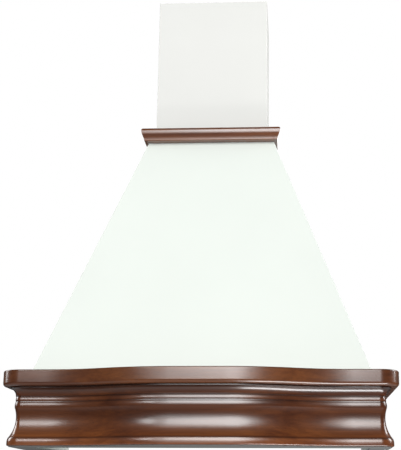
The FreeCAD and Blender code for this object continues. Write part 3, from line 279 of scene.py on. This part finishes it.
def section(bm, points, to_space):
    """Closed outline in (inset, height); a point (inset, height, radius, side, steps) starts an arc."""
    spots = [to_space(*p[:2]) for p in points]
    normal = (to_space(1, 0) - to_space(0, 0)).cross(to_space(0, 1) - to_space(0, 0))
    first = last = bm.verts.new(spots[0] * MM)
    for index, point in enumerate(points):
        start, end = spots[index], spots[(index + 1) % len(spots)]
        closing = index == len(points) - 1
        if len(point) > 2:
            radius, side, steps = point[2:]
            chord = end - start
            across = normal.cross(chord).normalized() * side
            centre = (start + end) / 2 + across * math.sqrt(radius ** 2 - chord.length ** 2 / 4)
            angle = 2 * math.degrees(math.asin(chord.length / 2 / radius)) * side
            last = turn_on(bm, [last], centre, normal, angle, steps)[0]
        elif closing:
            bm.edges.new((last, first))
        else:
            last = move_on(bm, [last], end - start)[0]
    return list(bm.edges)


def recalc(bm):
    bmesh.ops.recalc_face_normals(bm, faces=bm.faces)


def sharp_edges(bm, degrees=35):
    return [e for e in bm.edges if e.is_manifold and e.calc_face_angle(0) > math.radians(degrees)]


def ease(bm, radius, edges=None, segments=2):
    """Rounds the given edges, or all the sharp ones."""
    edges = sharp_edges(bm) if edges is None else edges
    bmesh.ops.bevel(bm, geom=edges, offset=radius * MM, offset_type="OFFSET", segments=segments,
                    profile=0.5, affect="EDGES", clamp_overlap=True, material=-1)


def keep(bm, point, away):
    """Cuts the shell by a plane, drops what lies on the away side, and closes the cut."""
    cut = bmesh.ops.bisect_plane(bm, geom=bm.verts[:] + bm.edges[:] + bm.faces[:], dist=1e-7,
                                 plane_co=Vector(point) * MM, plane_no=away, clear_outer=True)
    edges = [g for g in cut["geom_cut"] if isinstance(g, bmesh.types.BMEdge)]
    bmesh.ops.holes_fill(bm, edges=edges, sides=0)


def slab(bm, x, y, z):
    """A block between three pairs of planes."""
    made = bmesh.ops.create_cube(bm, size=1.0)["verts"]
    low, high = Vector((x[0], y[0], z[0])) * MM, Vector((x[1], y[1], z[1])) * MM
    bmesh.ops.scale(bm, vec=high - low, verts=made)
    bmesh.ops.translate(bm, vec=(low + high) / 2, verts=made)
    return made


def turned(bm, profile, steps=48, at=(0, 0, 0), axis=Z):
    """Spins a line of (radius, height) points about an axis through at."""
    points = [bm.verts.new((radius * MM, 0, height * MM)) for radius, height in profile]
    edges = [bm.edges.new(pair) for pair in zip(points, points[1:])]
    before = set(bm.verts) - set(points)
    bmesh.ops.spin(bm, geom=points + edges, cent=(0, 0, 0), axis=Z, angle=math.tau, steps=steps,
                   use_merge=True)
    made = [v for v in bm.verts if v not in before]
    bmesh.ops.remove_doubles(bm, verts=made, dist=1e-6)
    made = [v for v in bm.verts if v not in before]
    turn = Z.rotation_difference(axis).to_matrix()
    bmesh.ops.rotate(bm, cent=(0, 0, 0), matrix=turn, verts=made)
    bmesh.ops.translate(bm, vec=Vector(at) * MM, verts=made)


# ------------------------------------------------------------------ wooden shelf and valance

HALF, SIDE_DEPTH, FRONT_DEPTH = 450, 470, 522
CORNER, SHOULDER, INFLECT, CREST = 46, 345, 215, 60
BOW = 2 * math.degrees(math.atan((FRONT_DEPTH - SIDE_DEPTH) / (SHOULDER - CREST)))
HOLLOW_RADIUS = (SHOULDER - INFLECT) / math.sin(math.radians(BOW))
BULGE_RADIUS = (INFLECT - CREST) / math.sin(math.radians(BOW))
SKIRT_X, SKIRT_Y, TOP_X, TOP_Y = 393, 410, 167, 214
FOOT, BOARD_LOW, BOARD_TOP, PYRAMID_TOP = 2, 134, 170, 805
RING_TOP, FLUE_TOP = 806.5, 1220
SHEET, BOARD_PLAY = 1.5, 0.3
# (inset from the board's outline, height) from the foot up; radius, side and steps start an arc
MOULDING_SECTION = [
    (44, 2), (18, 2, 3, -1, 4), (15, 5), (15, 9, 26, -1, 6), (17.01, 19, 71.3, 1, 24), (29.52, 86),
    (29, 87, 25, -1, 8), (30.5, 101, 18, -1, 7), (31.5, 112), (30, 113, 18.96, 1, 10), (17, 131),
    (17, 134), (44, 134)]


def follow_shelf(bm, front):
    """Takes a front from the wall round the left corner and along the bowed front to the centre line."""
    front = move_on(bm, front, (0, CORNER - SIDE_DEPTH, 0))
    front = turn_on(bm, front, (CORNER - HALF, CORNER - SIDE_DEPTH, 0), Z, 90, 14)
    front = move_on(bm, front, (HALF - CORNER - SHOULDER, 0, 0))
    front = turn_on(bm, front, (-SHOULDER, -SIDE_DEPTH - HOLLOW_RADIUS, 0), Z, -BOW, 14)
    front = turn_on(bm, front, (-CREST, BULGE_RADIUS - FRONT_DEPTH, 0), Z, BOW, 16)
    return move_on(bm, front, (CREST, 0, 0))


def whole(bm):
    """Adds the right-hand half of something drawn on the left."""
    bmesh.ops.mirror(bm, geom=bm.verts[:] + bm.edges[:] + bm.faces[:], axis="X", merge_dist=1e-5)


def mitred(shape, half, front):
    """The left, front and right pieces of a shape that runs round three sides."""
    for side, planes in (("left", (Vector((1, -1, 0)),)), ("right", (Vector((-1, -1, 0)),)),
                         ("front", (Vector((-1, 1, 0)), Vector((1, 1, 0))))):
        bm = shape.copy()
        for away in planes:
            on_left = away.x * away.y < 0
            keep(bm, (-half if on_left else half, -front, 0), away)
        recalc(bm)
        yield side, bm
    shape.free()


board = bmesh.new()
follow_shelf(board, [board.verts.new(Vector((-HALF, 0, BOARD_LOW)) * MM)])
whole(board)
right_end = [max(board.verts, key=lambda v: (round(v.co.y, 5), v.co.x))]
left_end = min(board.verts, key=lambda v: (-round(v.co.y, 5), v.co.x))
inner_x, inner_y = SKIRT_X + BOARD_PLAY, SKIRT_Y + BOARD_PLAY
for step in ((inner_x - HALF, 0, 0), (0, -inner_y, 0), (-2 * inner_x, 0, 0), (0, inner_y, 0)):
    right_end = move_on(board, right_end, step)
board.edges.new((right_end[0], left_end))
bmesh.ops.contextual_create(board, geom=board.edges[:])
top = bmesh.ops.extrude_face_region(board, geom=board.faces[:])["geom"]
bmesh.ops.translate(board, vec=(0, 0, (BOARD_TOP - BOARD_LOW) * MM),
                    verts=points_of(top))
recalc(board)


def on_rim(level):
    """Edges of the board's outer outline at this height."""
    return [e for e in board.edges if all(abs(v.co.z - level * MM) < 1e-6 for v in e.verts)
            and all(abs(v.co.x) > (inner_x + 0.2) * MM or v.co.y < -(inner_y + 0.7) * MM for v in e.verts)
            and not all(abs(v.co.y) < 1e-6 for v in e.verts)]


ease(board, 3, on_rim(BOARD_TOP), 5)
ease(board, 8, on_rim(BOARD_LOW), 7)
for side, bm in mitred(board, HALF, SIDE_DEPTH):
    kind = "front_board" if side == "front" else "side_board"
    finished(bm, f"{side}_shelf", "hood", "stained_wood", WOOD[kind], (f"{side}_shelf_board",))

moulding = bmesh.new()
rim = section(moulding, MOULDING_SECTION, lambda inset, height: Vector((inset - HALF, 0, height)))
follow_shelf(moulding, rim)
whole(moulding)
for side, bm in mitred(moulding, HALF, SIDE_DEPTH):
    bmesh.ops.holes_fill(bm, edges=[e for e in bm.edges if e.is_boundary], sides=0)
    recalc(bm)
    kind = "front_moulding" if side == "front" else "side_moulding"
    finished(bm, f"{side}_moulding", "hood", "stained_wood", WOOD[kind], (f"{side}_valance",))

# ------------------------------------------------------------------ collar under the flue

COLLAR_X, COLLAR_Y = 183, 241
RAIL_SECTION = [(34.7, 0), (9, 0, 2.2, -1, 3), (7.5, 2, 60, 1, 8), (2.2, 16.5, 34, -1, 10), (0, 27, 7, -1, 7),
                (7, 34), (34.7, 34)]


def collar_rail(name, to_space, run, cuts, material):
    """A length of the rail's section, mitred where it meets its neighbours."""
    bm = bmesh.new()
    move_on(bm, section(bm, RAIL_SECTION, to_space), run)
    bmesh.ops.holes_fill(bm, edges=[e for e in bm.edges if e.is_boundary], sides=0)
    recalc(bm)
    for point, away in cuts:
        keep(bm, point, Vector(away))
    recalc(bm)
    finished(bm, name, "hood", "stained_wood", material, (f"{name}_rail",))


for side, sign in (("left", -1), ("right", 1)):
    collar_rail(f"{side}_collar", lambda inset, height: Vector((sign * (COLLAR_X - inset), 0, height + RING_TOP)),
                (0, -COLLAR_Y - 60, 0), [((sign * COLLAR_X, -COLLAR_Y, 0), (-sign, -1, 0))], WOOD["side_rail"])
collar_rail("front_collar", lambda inset, height: Vector((-COLLAR_X - 60, inset - COLLAR_Y, height + RING_TOP)),
            (2 * COLLAR_X + 120, 0, 0),
            [((sign * COLLAR_X, -COLLAR_Y, 0), (sign, 1, 0)) for sign in (-1, 1)], WOOD["front_rail"])

# ------------------------------------------------------------------ painted steel body and flue covers

HOME = {node: body for body, nodes in frame["record"]["behaviour"]["bodies"].items() for node in nodes}
SLOT = {entry["node"]: entry["material_slot"] for entry in frame["record"]["subparts"]}


def stands_for(bm, node, material, name=None, sharp=32):
    """A piece that takes one CAD node's place, on its body."""
    finished(bm, name or f"{node}_made", HOME[node], SLOT[node], material, (node,), sharp)


def sheet_wall(bm):
    """Gives a folded sheet its gauge, inwards from the outer face."""
    bmesh.ops.solidify(bm, geom=bm.faces[:], thickness=SHEET * MM)


def outward(bm, from_point):
    """Turns the faces of an open sheet away from a point inside it."""
    recalc(bm)
    inside = Vector(from_point) * MM
    if sum(f.normal.dot(f.calc_center_median() - inside) * f.calc_area() for f in bm.faces) < 0:
        bmesh.ops.reverse_faces(bm, faces=bm.faces)


def folded(bm, start, steps, rise):
    """Folds a strip along the steps from a start point and pulls it up; returns its top edges."""
    front = [bm.verts.new(Vector(start) * MM)]
    for step in steps:
        front = move_on(bm, front, step)
    return move_on(bm, bm.edges[:], (0, 0, rise))


canopy = bmesh.new()
top = folded(canopy, (-SKIRT_X, 0, FOOT), ((0, -SKIRT_Y, 0), (2 * SKIRT_X, 0, 0), (0, SKIRT_Y, 0)), BOARD_TOP - FOOT)
top = move_on(canopy, top, (0, 0, PYRAMID_TOP - BOARD_TOP))
bmesh.ops.scale(canopy, vec=(TOP_X / SKIRT_X, TOP_Y / SKIRT_Y, 1), verts=list({v for e in top for v in e.verts}))
outward(canopy, (0, -100, 300))
ease(canopy, 2.2, [e for e in canopy.edges if e.is_manifold], 3)
sheet_wall(canopy)
finished(canopy, "canopy_shell", "hood", "white_body", BODY_WHITE,
         ("front_panel", "left_side_panel", "right_side_panel"), sharp=50)


def flue_cover(node, half, front, rear, low, high, lip=15):
    """Folded cover: a front, two sides and two lips against the wall."""
    bm = bmesh.new()
    folded(bm, (lip - half, -rear, low), ((-lip, 0, 0), (0, rear - front, 0), (2 * half, 0, 0),
                                          (0, front - rear, 0), (-lip, 0, 0)), high - low)
    outward(bm, (0, -100, (low + high) / 2))
    ease(bm, 2.0, [e for e in bm.edges if e.is_manifold], 3)
    sheet_wall(bm)
    stands_for(bm, node, FLUE_WHITE, f"{node}_cover", sharp=50)


flue_cover("lower_flue", 148, 206, 0, RING_TOP, FLUE_TOP)
flue_cover("upper_flue", 146, 204, 2, 821.8, 1214)


def worked(node, material, radius=0.4, segments=2):
    """The CAD shape with its sharp edges taken off, as pressed, cut or moulded edges are."""
    bm = bmesh.new()
    bm.from_mesh(frame["nodes"][node].data)
    bmesh.ops.remove_doubles(bm, verts=bm.verts, dist=1e-6)
    bmesh.ops.dissolve_limit(bm, angle_limit=math.radians(0.5), verts=bm.verts, edges=bm.edges,
                             use_dissolve_boundaries=False)
    ease(bm, radius, segments=segments)
    stands_for(bm, node, material)


worked("top_ring", BODY_WHITE)
worked("back_plate", GALVANISED, 0.5)
worked("upper_flue_bracket", GALVANISED, 0.5)
worked("underside_trim", GREY_PAINT, 0.6)
for node in ("front_packer", "left_packer", "right_packer"):
    worked(node, UNSTAINED, 0.8)

# ------------------------------------------------------------------ screws


def drawn_round(bm, edges, rings):
    """Draws a front of edges out through rings of (radius, height), and returns the last front."""
    for radius, height in rings:
        edges, points = drawn_out(bm, edges)
        for v in points:
            flat = Vector((v.co.x, v.co.y, 0)).normalized() * radius * MM
            v.co = Vector((flat.x, flat.y, height * MM))
    return edges


def cross_head(bm, place, way, head=3.6, tall=1.5, shank=1.9, long=21.5, slot=0.42, arm=1.9):
    """A pan-head screw with a cross recess; way points from the head into the work."""
    before = set(bm.verts)
    bmesh.ops.create_grid(bm, x_segments=3, y_segments=3, size=0.5)
    grid = [v for v in bm.verts if v not in before]
    corners = [f for f in {f for v in grid for f in v.link_faces}
               if all(abs(along) > 0.2 for along in f.calc_center_median().xy)]
    bmesh.ops.delete(bm, geom=corners, context="FACES")
    cross = [v for v in bm.verts if v not in before]
    for v in cross:
        v.co.x = math.copysign(arm if abs(v.co.x) > 0.3 else slot, v.co.x) * MM
        v.co.y = math.copysign(arm if abs(v.co.y) > 0.3 else slot, v.co.y) * MM
    recess = list({f for v in cross for f in v.link_faces})
    rim = [e for e in {e for v in cross for e in v.link_edges} if e.is_boundary]
    front = drawn_round(bm, rim, (
        (0.76 * head, 0), (0.96 * head, -0.35), (head, -0.8), (head, -tall), (shank, -tall), (shank, 4 - long),
        (0.08 * head, -long)))
    bmesh.ops.holes_fill(bm, edges=front, sides=0)
    sunk = points_of(bmesh.ops.extrude_face_region(bm, geom=recess)["geom"])
    bmesh.ops.delete(bm, geom=[f for f in recess if f.is_valid], context="FACES_ONLY")
    bmesh.ops.translate(bm, verts=sunk, vec=(0, 0, -0.9 * MM))
    bmesh.ops.scale(bm, verts=sunk, vec=(0.7, 0.7, 1))
    made = [v for v in bm.verts if v not in before]
    turn = (-Z).rotation_difference(Vector(way)).to_matrix() @ Matrix.Rotation(0.4, 3, "Z")
    bmesh.ops.rotate(bm, verts=made, cent=(0, 0, 0), matrix=turn)
    bmesh.ops.translate(bm, verts=made, vec=Vector(place) * MM)


heads = bmesh.new()
for x, y in ((-422, -100), (-422, -340), (422, -100), (422, -340), (-375, -442), (375, -442), (0, -494)):
    cross_head(heads, (x, y, 0.1), (0, 0, 1))
recalc(heads)
stands_for(heads, "trim_screws", STEEL)
for node in ("collar_screws", "frame_screws", "panel_screws"):
    worked(node, STEEL, 0.3)

# ------------------------------------------------------------------ grease filters and their panel

worked("filter_panel", BODY_WHITE, 0.5)
FILTER_X, FILTER_FRONT, FILTER_LOW, FILTER_TOP = 193, -322, 31.5, 40.5
FILTER_HALF, FILTER_MID, FILTER_DEEP = 185, -178, 144
PIVOT_Y, PIVOT_Z = -40, 36
MESH_X, MESH_Y = 175, 134


def diamond_layer(bm, x, z, shift):
    """One layer of expanded aluminium: a sheet of slit diamonds cut to the filter's size."""
    before = set(bm.verts)
    bmesh.ops.create_grid(bm, x_segments=70, y_segments=70, size=0.5, matrix=Matrix.Rotation(math.pi / 4, 4, "Z"))
    made = [v for v in bm.verts if v not in before]
    bmesh.ops.scale(bm, verts=made, vec=(0.62, 0.42, 1))
    bmesh.ops.translate(bm, verts=made, vec=Vector((x + shift, FILTER_MID + shift / 2, z)) * MM)
    for point, away in (((x - MESH_X, 0, 0), -X), ((x + MESH_X, 0, 0), X),
                        ((0, FILTER_MID - MESH_Y, 0), -Y), ((0, FILTER_MID + MESH_Y, 0), Y)):
        geom = [v for v in bm.verts if v not in before]
        geom += list({e for v in geom for e in v.link_edges}) + list({f for v in geom for f in v.link_faces})
        bmesh.ops.bisect_plane(bm, geom=geom, dist=1e-7, plane_co=Vector(point) * MM, plane_no=away,
                               clear_outer=True)
    faces = list({f for v in bm.verts if v not in before for f in v.link_faces})
    bmesh.ops.wireframe(bm, faces=faces, thickness=0.75 * MM, use_replace=True, use_boundary=True,
                        use_even_offset=True)


for side, sign in (("left", -1), ("right", 1)):
    centre = sign * FILTER_X
    middle = Vector((centre, FILTER_MID, FILTER_LOW)) * MM
    rim = bmesh.new()
    bmesh.ops.create_grid(rim, x_segments=1, y_segments=1, size=0.5)
    bmesh.ops.scale(rim, verts=rim.verts, vec=(2 * FILTER_HALF * MM, 2 * FILTER_DEEP * MM, 1))
    bmesh.ops.translate(rim, verts=rim.verts, vec=middle)
    bmesh.ops.bevel(rim, geom=rim.verts[:], offset=5 * MM, offset_type="OFFSET", segments=4, profile=0.5,
                    affect="VERTICES", material=-1)
    bmesh.ops.inset_region(rim, faces=rim.faces[:], thickness=13 * MM)
    inner = min(rim.faces, key=lambda f: (f.calc_center_median() - middle).length)
    bmesh.ops.delete(rim, geom=[inner], context="FACES_ONLY")
    bmesh.ops.inset_region(rim, faces=rim.faces[:], thickness=2.6 * MM, depth=0.7 * MM)
    raised = points_of(bmesh.ops.extrude_face_region(rim, geom=rim.faces[:])["geom"])
    bmesh.ops.scale(rim, verts=raised, vec=(1, 1, 0))
    bmesh.ops.translate(rim, verts=raised, vec=(0, 0, FILTER_TOP * MM))
    recalc(rim)
    ease(rim, 1.2, sharp_edges(rim, 60), 3)
    tab = slab(rim, (centre - 30, centre + 30), (FILTER_FRONT + 10.5, FILTER_FRONT + 12), (21.5, 32.5))
    bmesh.ops.bevel(rim, geom=[e for e in {e for v in tab for e in v.link_edges}
                               if abs((e.verts[0].co - e.verts[1].co).y) > 1 * MM and e.verts[0].co.z < 22 * MM],
                    offset=4 * MM, offset_type="OFFSET", segments=4, profile=0.5, affect="EDGES", material=-1)
    for end in (-1, 1):
        turned(rim, [(0, 0), (1.6, 0), (2.0, 0.4), (2.0, 4.3), (0, 4.3)], 20,
               (centre + end * (FILTER_HALF + 4), PIVOT_Y, PIVOT_Z), -end * X)
    recalc(rim)
    stands_for(rim, f"{side}_filter_frame", ALUMINIUM)
    mesh_layers = bmesh.new()
    diamond_layer(mesh_layers, centre, 33.6, 0)
    diamond_layer(mesh_layers, centre, 38.3, 3.4)
    stands_for(mesh_layers, f"{side}_filter_mesh", ALUMINIUM)

# ------------------------------------------------------------------ lamps and push buttons

STRIP_Y, LAMP_X, BUTTON_PITCH, CAP_LOW = -364, 255, 34, 22.5
for side, sign in (("left", -1), ("right", 1)):
    can = bmesh.new()
    turned(can, [(0, 56.9), (28.5, 56.9), (30, 55.4), (30, 30), (35.6, 30), (36, 29.6), (35.6, 29.0), (34.4, 28.5),
                 (32, 28.4), (29.4, 28.5), (28.2, 28.9), (27.4, 29.6), (27.3, 32.1), (25.5, 32.6), (25.5, 52),
                 (22, 55.4), (0, 55.4)], 64, (sign * LAMP_X, STRIP_Y, 0))
    recalc(can)
    stands_for(can, f"{side}_lamp_can", CHROME)
    glass = bmesh.new()
    rings = [(0, 28.95)]
    for ring in (5, 9, 13, 17, 21):
        rings += [(ring - 0.8, 28.95), (ring, 29.35), (ring + 0.8, 28.95)]
    turned(glass, rings + [(25.6, 28.95), (27, 29.5), (27, 31.5), (26.6, 31.9), (0, 31.9)], 64,
           (sign * LAMP_X, STRIP_Y, 0))
    recalc(glass)
    stands_for(glass, f"{side}_lamp_lens", FROSTED)

worked("control_bezel", BEZEL, 0.9, 3)
worked("switch_body", GREY, 0.8)


def cap_marks(bm, x, count):
    """Raised dots that tell the speeds apart by touch."""
    for number in range(count):
        turned(bm, [(0, -0.28), (0.7, -0.22), (1.1, 0), (1.1, 0.6), (0, 0.6)], 16,
               (x + 4.4 * (number - (count - 1) / 2), STRIP_Y, CAP_LOW))


def ring_mark(bm, x, radius):
    """Raised ring on a button cap."""
    turned(bm, [(radius - 0.5, 0.5), (radius - 0.5, -0.1), (radius, -0.25), (radius + 0.5, -0.1),
                (radius + 0.5, 0.5), (radius - 0.5, 0.5)], 32, (x, STRIP_Y, CAP_LOW))


for place, node in enumerate(("off_button", "low_speed_button", "medium_speed_button", "high_speed_button",
                              "light_button")):
    x = BUTTON_PITCH * (place - 2)
    worked(node, CAPS, 1.1, 4)
    marks = bmesh.new()
    if node == "off_button":
        ring_mark(marks, x, 3.0)
    elif node == "light_button":
        ring_mark(marks, x, 2.0)
        for turn in range(8):
            before = set(marks.verts)
            slab(marks, (3.4, 5.0), (-0.3, 0.3), (-0.22, 0.5))
            ray = [v for v in marks.verts if v not in before]
            bmesh.ops.rotate(marks, verts=ray, cent=(0, 0, 0), matrix=Matrix.Rotation(turn * math.pi / 4, 3, "Z"))
            bmesh.ops.translate(marks, verts=ray, vec=Vector((x, STRIP_Y, CAP_LOW)) * MM)
    else:
        cap_marks(marks, x, place)
    recalc(marks)
    finished(marks, f"{node}_mark", HOME[node], SLOT[node], MARKS)

# ------------------------------------------------------------------ blower in the canopy

FAN = (0, -155, 330)
for node in ("scroll_wrap", "left_scroll_cheek", "right_scroll_cheek", "blower_hanger", "outlet_spigot",
             "motor_bracket"):
    worked(node, GALVANISED, 0.4)
for node in ("front_damper_flap", "rear_damper_flap"):
    worked(node, GALVANISED, 0.35)

VANES = 40
wheel = bmesh.new()
tip = [wheel.verts.new(Vector((-70.6, 0, 84.8)) * MM)]
tip = turn_on(wheel, tip, (0, 9.5, 90.5), X, -84, 7)
move_on(wheel, wheel.edges[:], (141.2, 0, 0))
bmesh.ops.solidify(wheel, geom=wheel.faces[:], thickness=0.7 * MM)
bmesh.ops.spin(wheel, geom=wheel.verts[:] + wheel.edges[:] + wheel.faces[:], cent=(0, 0, 0), axis=X,
               angle=math.tau * (VANES - 1) / VANES, steps=VANES - 1, use_duplicate=True)
turned(wheel, [(4.2, -0.75), (30, -0.75), (34, -2.6), (60, -2.6), (64, -0.75), (99.4, -0.75), (100, 0),
               (99.4, 0.75), (64, 0.75), (60, -1.1), (34, -1.1), (30, 0.75), (12, 0.75), (12, 17.4), (11.4, 18),
               (4.2, 18), (4.2, -0.75)], 64, (0, 0, 0), X)
for end in (-72, 70.5):
    turned(wheel, [(84.3, end), (99.4, end), (100, end + 0.75), (99.4, end + 1.5), (84.3, end + 1.5),
                   (84.3, end)], 64, (0, 0, 0), X)
bmesh.ops.translate(wheel, verts=wheel.verts, vec=Vector(FAN) * MM)
recalc(wheel)
stands_for(wheel, "impeller", GALVANISED)
worked("motor_shaft", STEEL, 0.5)

case = [(4.3, -66), (20, -66), (22, -64.5), (40, -64.5), (45, -63), (48, -59)]
for rib in range(7):
    case += [(48, -56 + 6 * rib), (46.2, -55.2 + 6 * rib), (46.2, -53.2 + 6 * rib), (48, -52.4 + 6 * rib)]
case += [(48, -15), (45, -11), (40, -9.5), (22, -9.5), (20, -8), (4.3, -8), (4.3, -66)]
motor = bmesh.new()
turned(motor, case, 64, FAN, X)
recalc(motor)
stands_for(motor, "motor", MOTOR_BLACK)

# ------------------------------------------------------------------ electrics on the back plate

CAPACITOR_X, GLAND_X, GLAND_Y = 250, -250, -20.5
worked("terminal_box", GREY, 1.0, 3)
worked("terminal_box_lid", GREY, 0.8, 3)
can = bmesh.new()
turned(can, [(0, 0), (16.5, 0), (18, 1.5), (18, 58), (17.2, 59.2), (18, 60.4), (18, 66.5), (16.8, 68), (15.4, 67.2),
             (0, 67.2)], 48, (CAPACITOR_X, -1.5, 100), -Y)
for x in (CAPACITOR_X - 5, CAPACITOR_X + 5):
    slab(can, (x - 0.4, x + 0.4), (-76.5, -68), (97, 103))
recalc(can)
ease(can, 0.25, sharp_edges(can, 80), 1)
stands_for(can, "capacitor", ALUMINIUM)

gland = bmesh.new()
bmesh.ops.create_cone(gland, segments=6, radius1=9 * MM, radius2=9 * MM, depth=6 * MM, cap_ends=True,
                      matrix=Matrix.Translation(Vector((GLAND_X, GLAND_Y, 183)) * MM))
ease(gland, 0.6, segments=2)
turned(gland, [(4.5, 176.1), (6.6, 176.1), (6.6, 186), (8.4, 186), (8.8, 187), (8.6, 191), (7.2, 194.6), (5.6, 196),
               (4.5, 195.4), (4.5, 176.1)], 48, (GLAND_X, GLAND_Y, 0))
recalc(gland)
stands_for(gland, "cable_gland", BLACK)
worked("damper_pin", STEEL, 0.4)

# ------------------------------------------------------------------ camera, light and floor

scene = bpy.context.scene
lens = bpy.data.cameras.new("photo_lens")
# fitted to the photograph's 401 x 450 frame, in pixels
FOCAL_PX, WIDE_PX, LONG_PX = 950, 401, 450
CENTRE_PX, CENTRE_PY = 245.8, 277.3
lens.sensor_width = 36
lens.lens = 36 * FOCAL_PX / LONG_PX
lens.shift_x = -(CENTRE_PX - WIDE_PX / 2) / LONG_PX
lens.shift_y = (CENTRE_PY - LONG_PX / 2) / LONG_PX
lens.clip_start, lens.clip_end = 0.05, 50
camera = bpy.data.objects.new("photo_camera", lens)
scene.collection.objects.link(camera)
yaw, pitch, roll = math.radians(-2.771), math.radians(13.313), math.radians(0.289)
camera.matrix_world = (Matrix.Translation(Vector((207.6, -2571.05, -118.37)) * MM)
                       @ Matrix.Rotation(-yaw, 4, "Z") @ Matrix.Rotation(pitch + math.pi / 2, 4, "X")
                       @ Matrix.Rotation(roll, 4, "Z"))
scene.camera = camera
scene.view_settings.view_transform = "Standard"


def soft_light(name, place, aim, size, power, shape="ELLIPSE"):
    """An area light that the camera doesn't see."""
    data = bpy.data.lights.new(name, "AREA")
    data.shape = shape
    data.size, data.size_y = size
    data.energy = power
    made = bpy.data.objects.new(name, data)
    scene.collection.objects.link(made)
    made.location = place
    made.rotation_euler = (Vector(aim) - Vector(place)).to_track_quat("-Z", "Y").to_euler()
    made.visible_camera = False


soft_light("key_light", (-0.05, -3.05, 1.15), (-0.1, -0.45, 0.30), (2.5, 2.3), 38)
soft_light("key_core", (0.12, -3.00, 1.15), (-0.1, -0.45, 0.30), (1.3, 1.6), 44)
soft_light("left_core", (-1.20, -3.00, 1.15), (-0.4, -0.47, 0.15), (0.45, 0.9), 9)
soft_light("low_fill", (0.75, -0.88, -1.0), (0.75, -0.78, 1.0), (1.1, 0.50), 25, shape="RECTANGLE")
soft_light("right_fill", (2.6, -0.15, 1.2), (0.0, -0.15, 0.9), (0.8, 1.6), 46)
soft_light("left_fill", (-2.6, -0.15, 1.2), (0.0, -0.15, 0.9), (0.8, 1.6), 32)
soft_light("back_fill", (0.3, 2.8, 1.3), (0.0, 0.0, 0.5), (2.4, 2.4), 40)

sky = bpy.data.worlds.new("pale_studio")
scene.world = sky
sky.use_nodes = True
nodes, links = sky.node_tree.nodes, sky.node_tree.links
nodes.remove(nodes["Background"])
rays = nodes.new("ShaderNodeLightPath").outputs


def backdrop(colour, strength=1.0):
    made = nodes.new("ShaderNodeBackground")
    made.inputs["Color"].default_value = (*colour, 1)
    made.inputs["Strength"].default_value = strength
    return made.outputs[0]


def choose(ray, others, these):
    """One backdrop for these rays and another for the others."""
    made = nodes.new("ShaderNodeMixShader")
    for place, source in enumerate((rays[ray], others, these)):
        links.new(source, made.inputs[place])
    return made.outputs[0]


ambient = choose("Is Glossy Ray", backdrop((0.62, 0.63, 0.64), 0.62), backdrop((0.05, 0.048, 0.046)))
links.new(choose("Is Camera Ray", ambient, backdrop((1, 1, 1))), nodes["World Output"].inputs["Surface"])

floor = bmesh.new()
bmesh.ops.create_grid(floor, x_segments=1, y_segments=1, size=9)
bmesh.ops.translate(floor, vec=(0, -1, -3.7), verts=floor.verts)
mesh = bpy.data.meshes.new("studio_floor")
floor.to_mesh(mesh)
floor.free()
ground = bpy.data.objects.new("studio_floor", mesh)
scene.collection.objects.link(ground)
pale = Finish("pale_floor", Roughness=0.8)
mottle = pale.ramp(pale.noise(pale.place, 2.0), (0.3, (0.80, 0.80, 0.80)), (0.7, (0.84, 0.84, 0.84)))
mesh.materials.append(pale.wear(Base_Color=mottle))

# ------------------------------------------------------------------ finishes of the CAD pieces left showing

LEFT_AS_DRAWN = {"mitre_dowels": UNSTAINED}
for name, node in frame["nodes"].items():
    node.data.materials.clear()
    node.data.materials.append(LEFT_AS_DRAWN.get(name, GALVANISED))
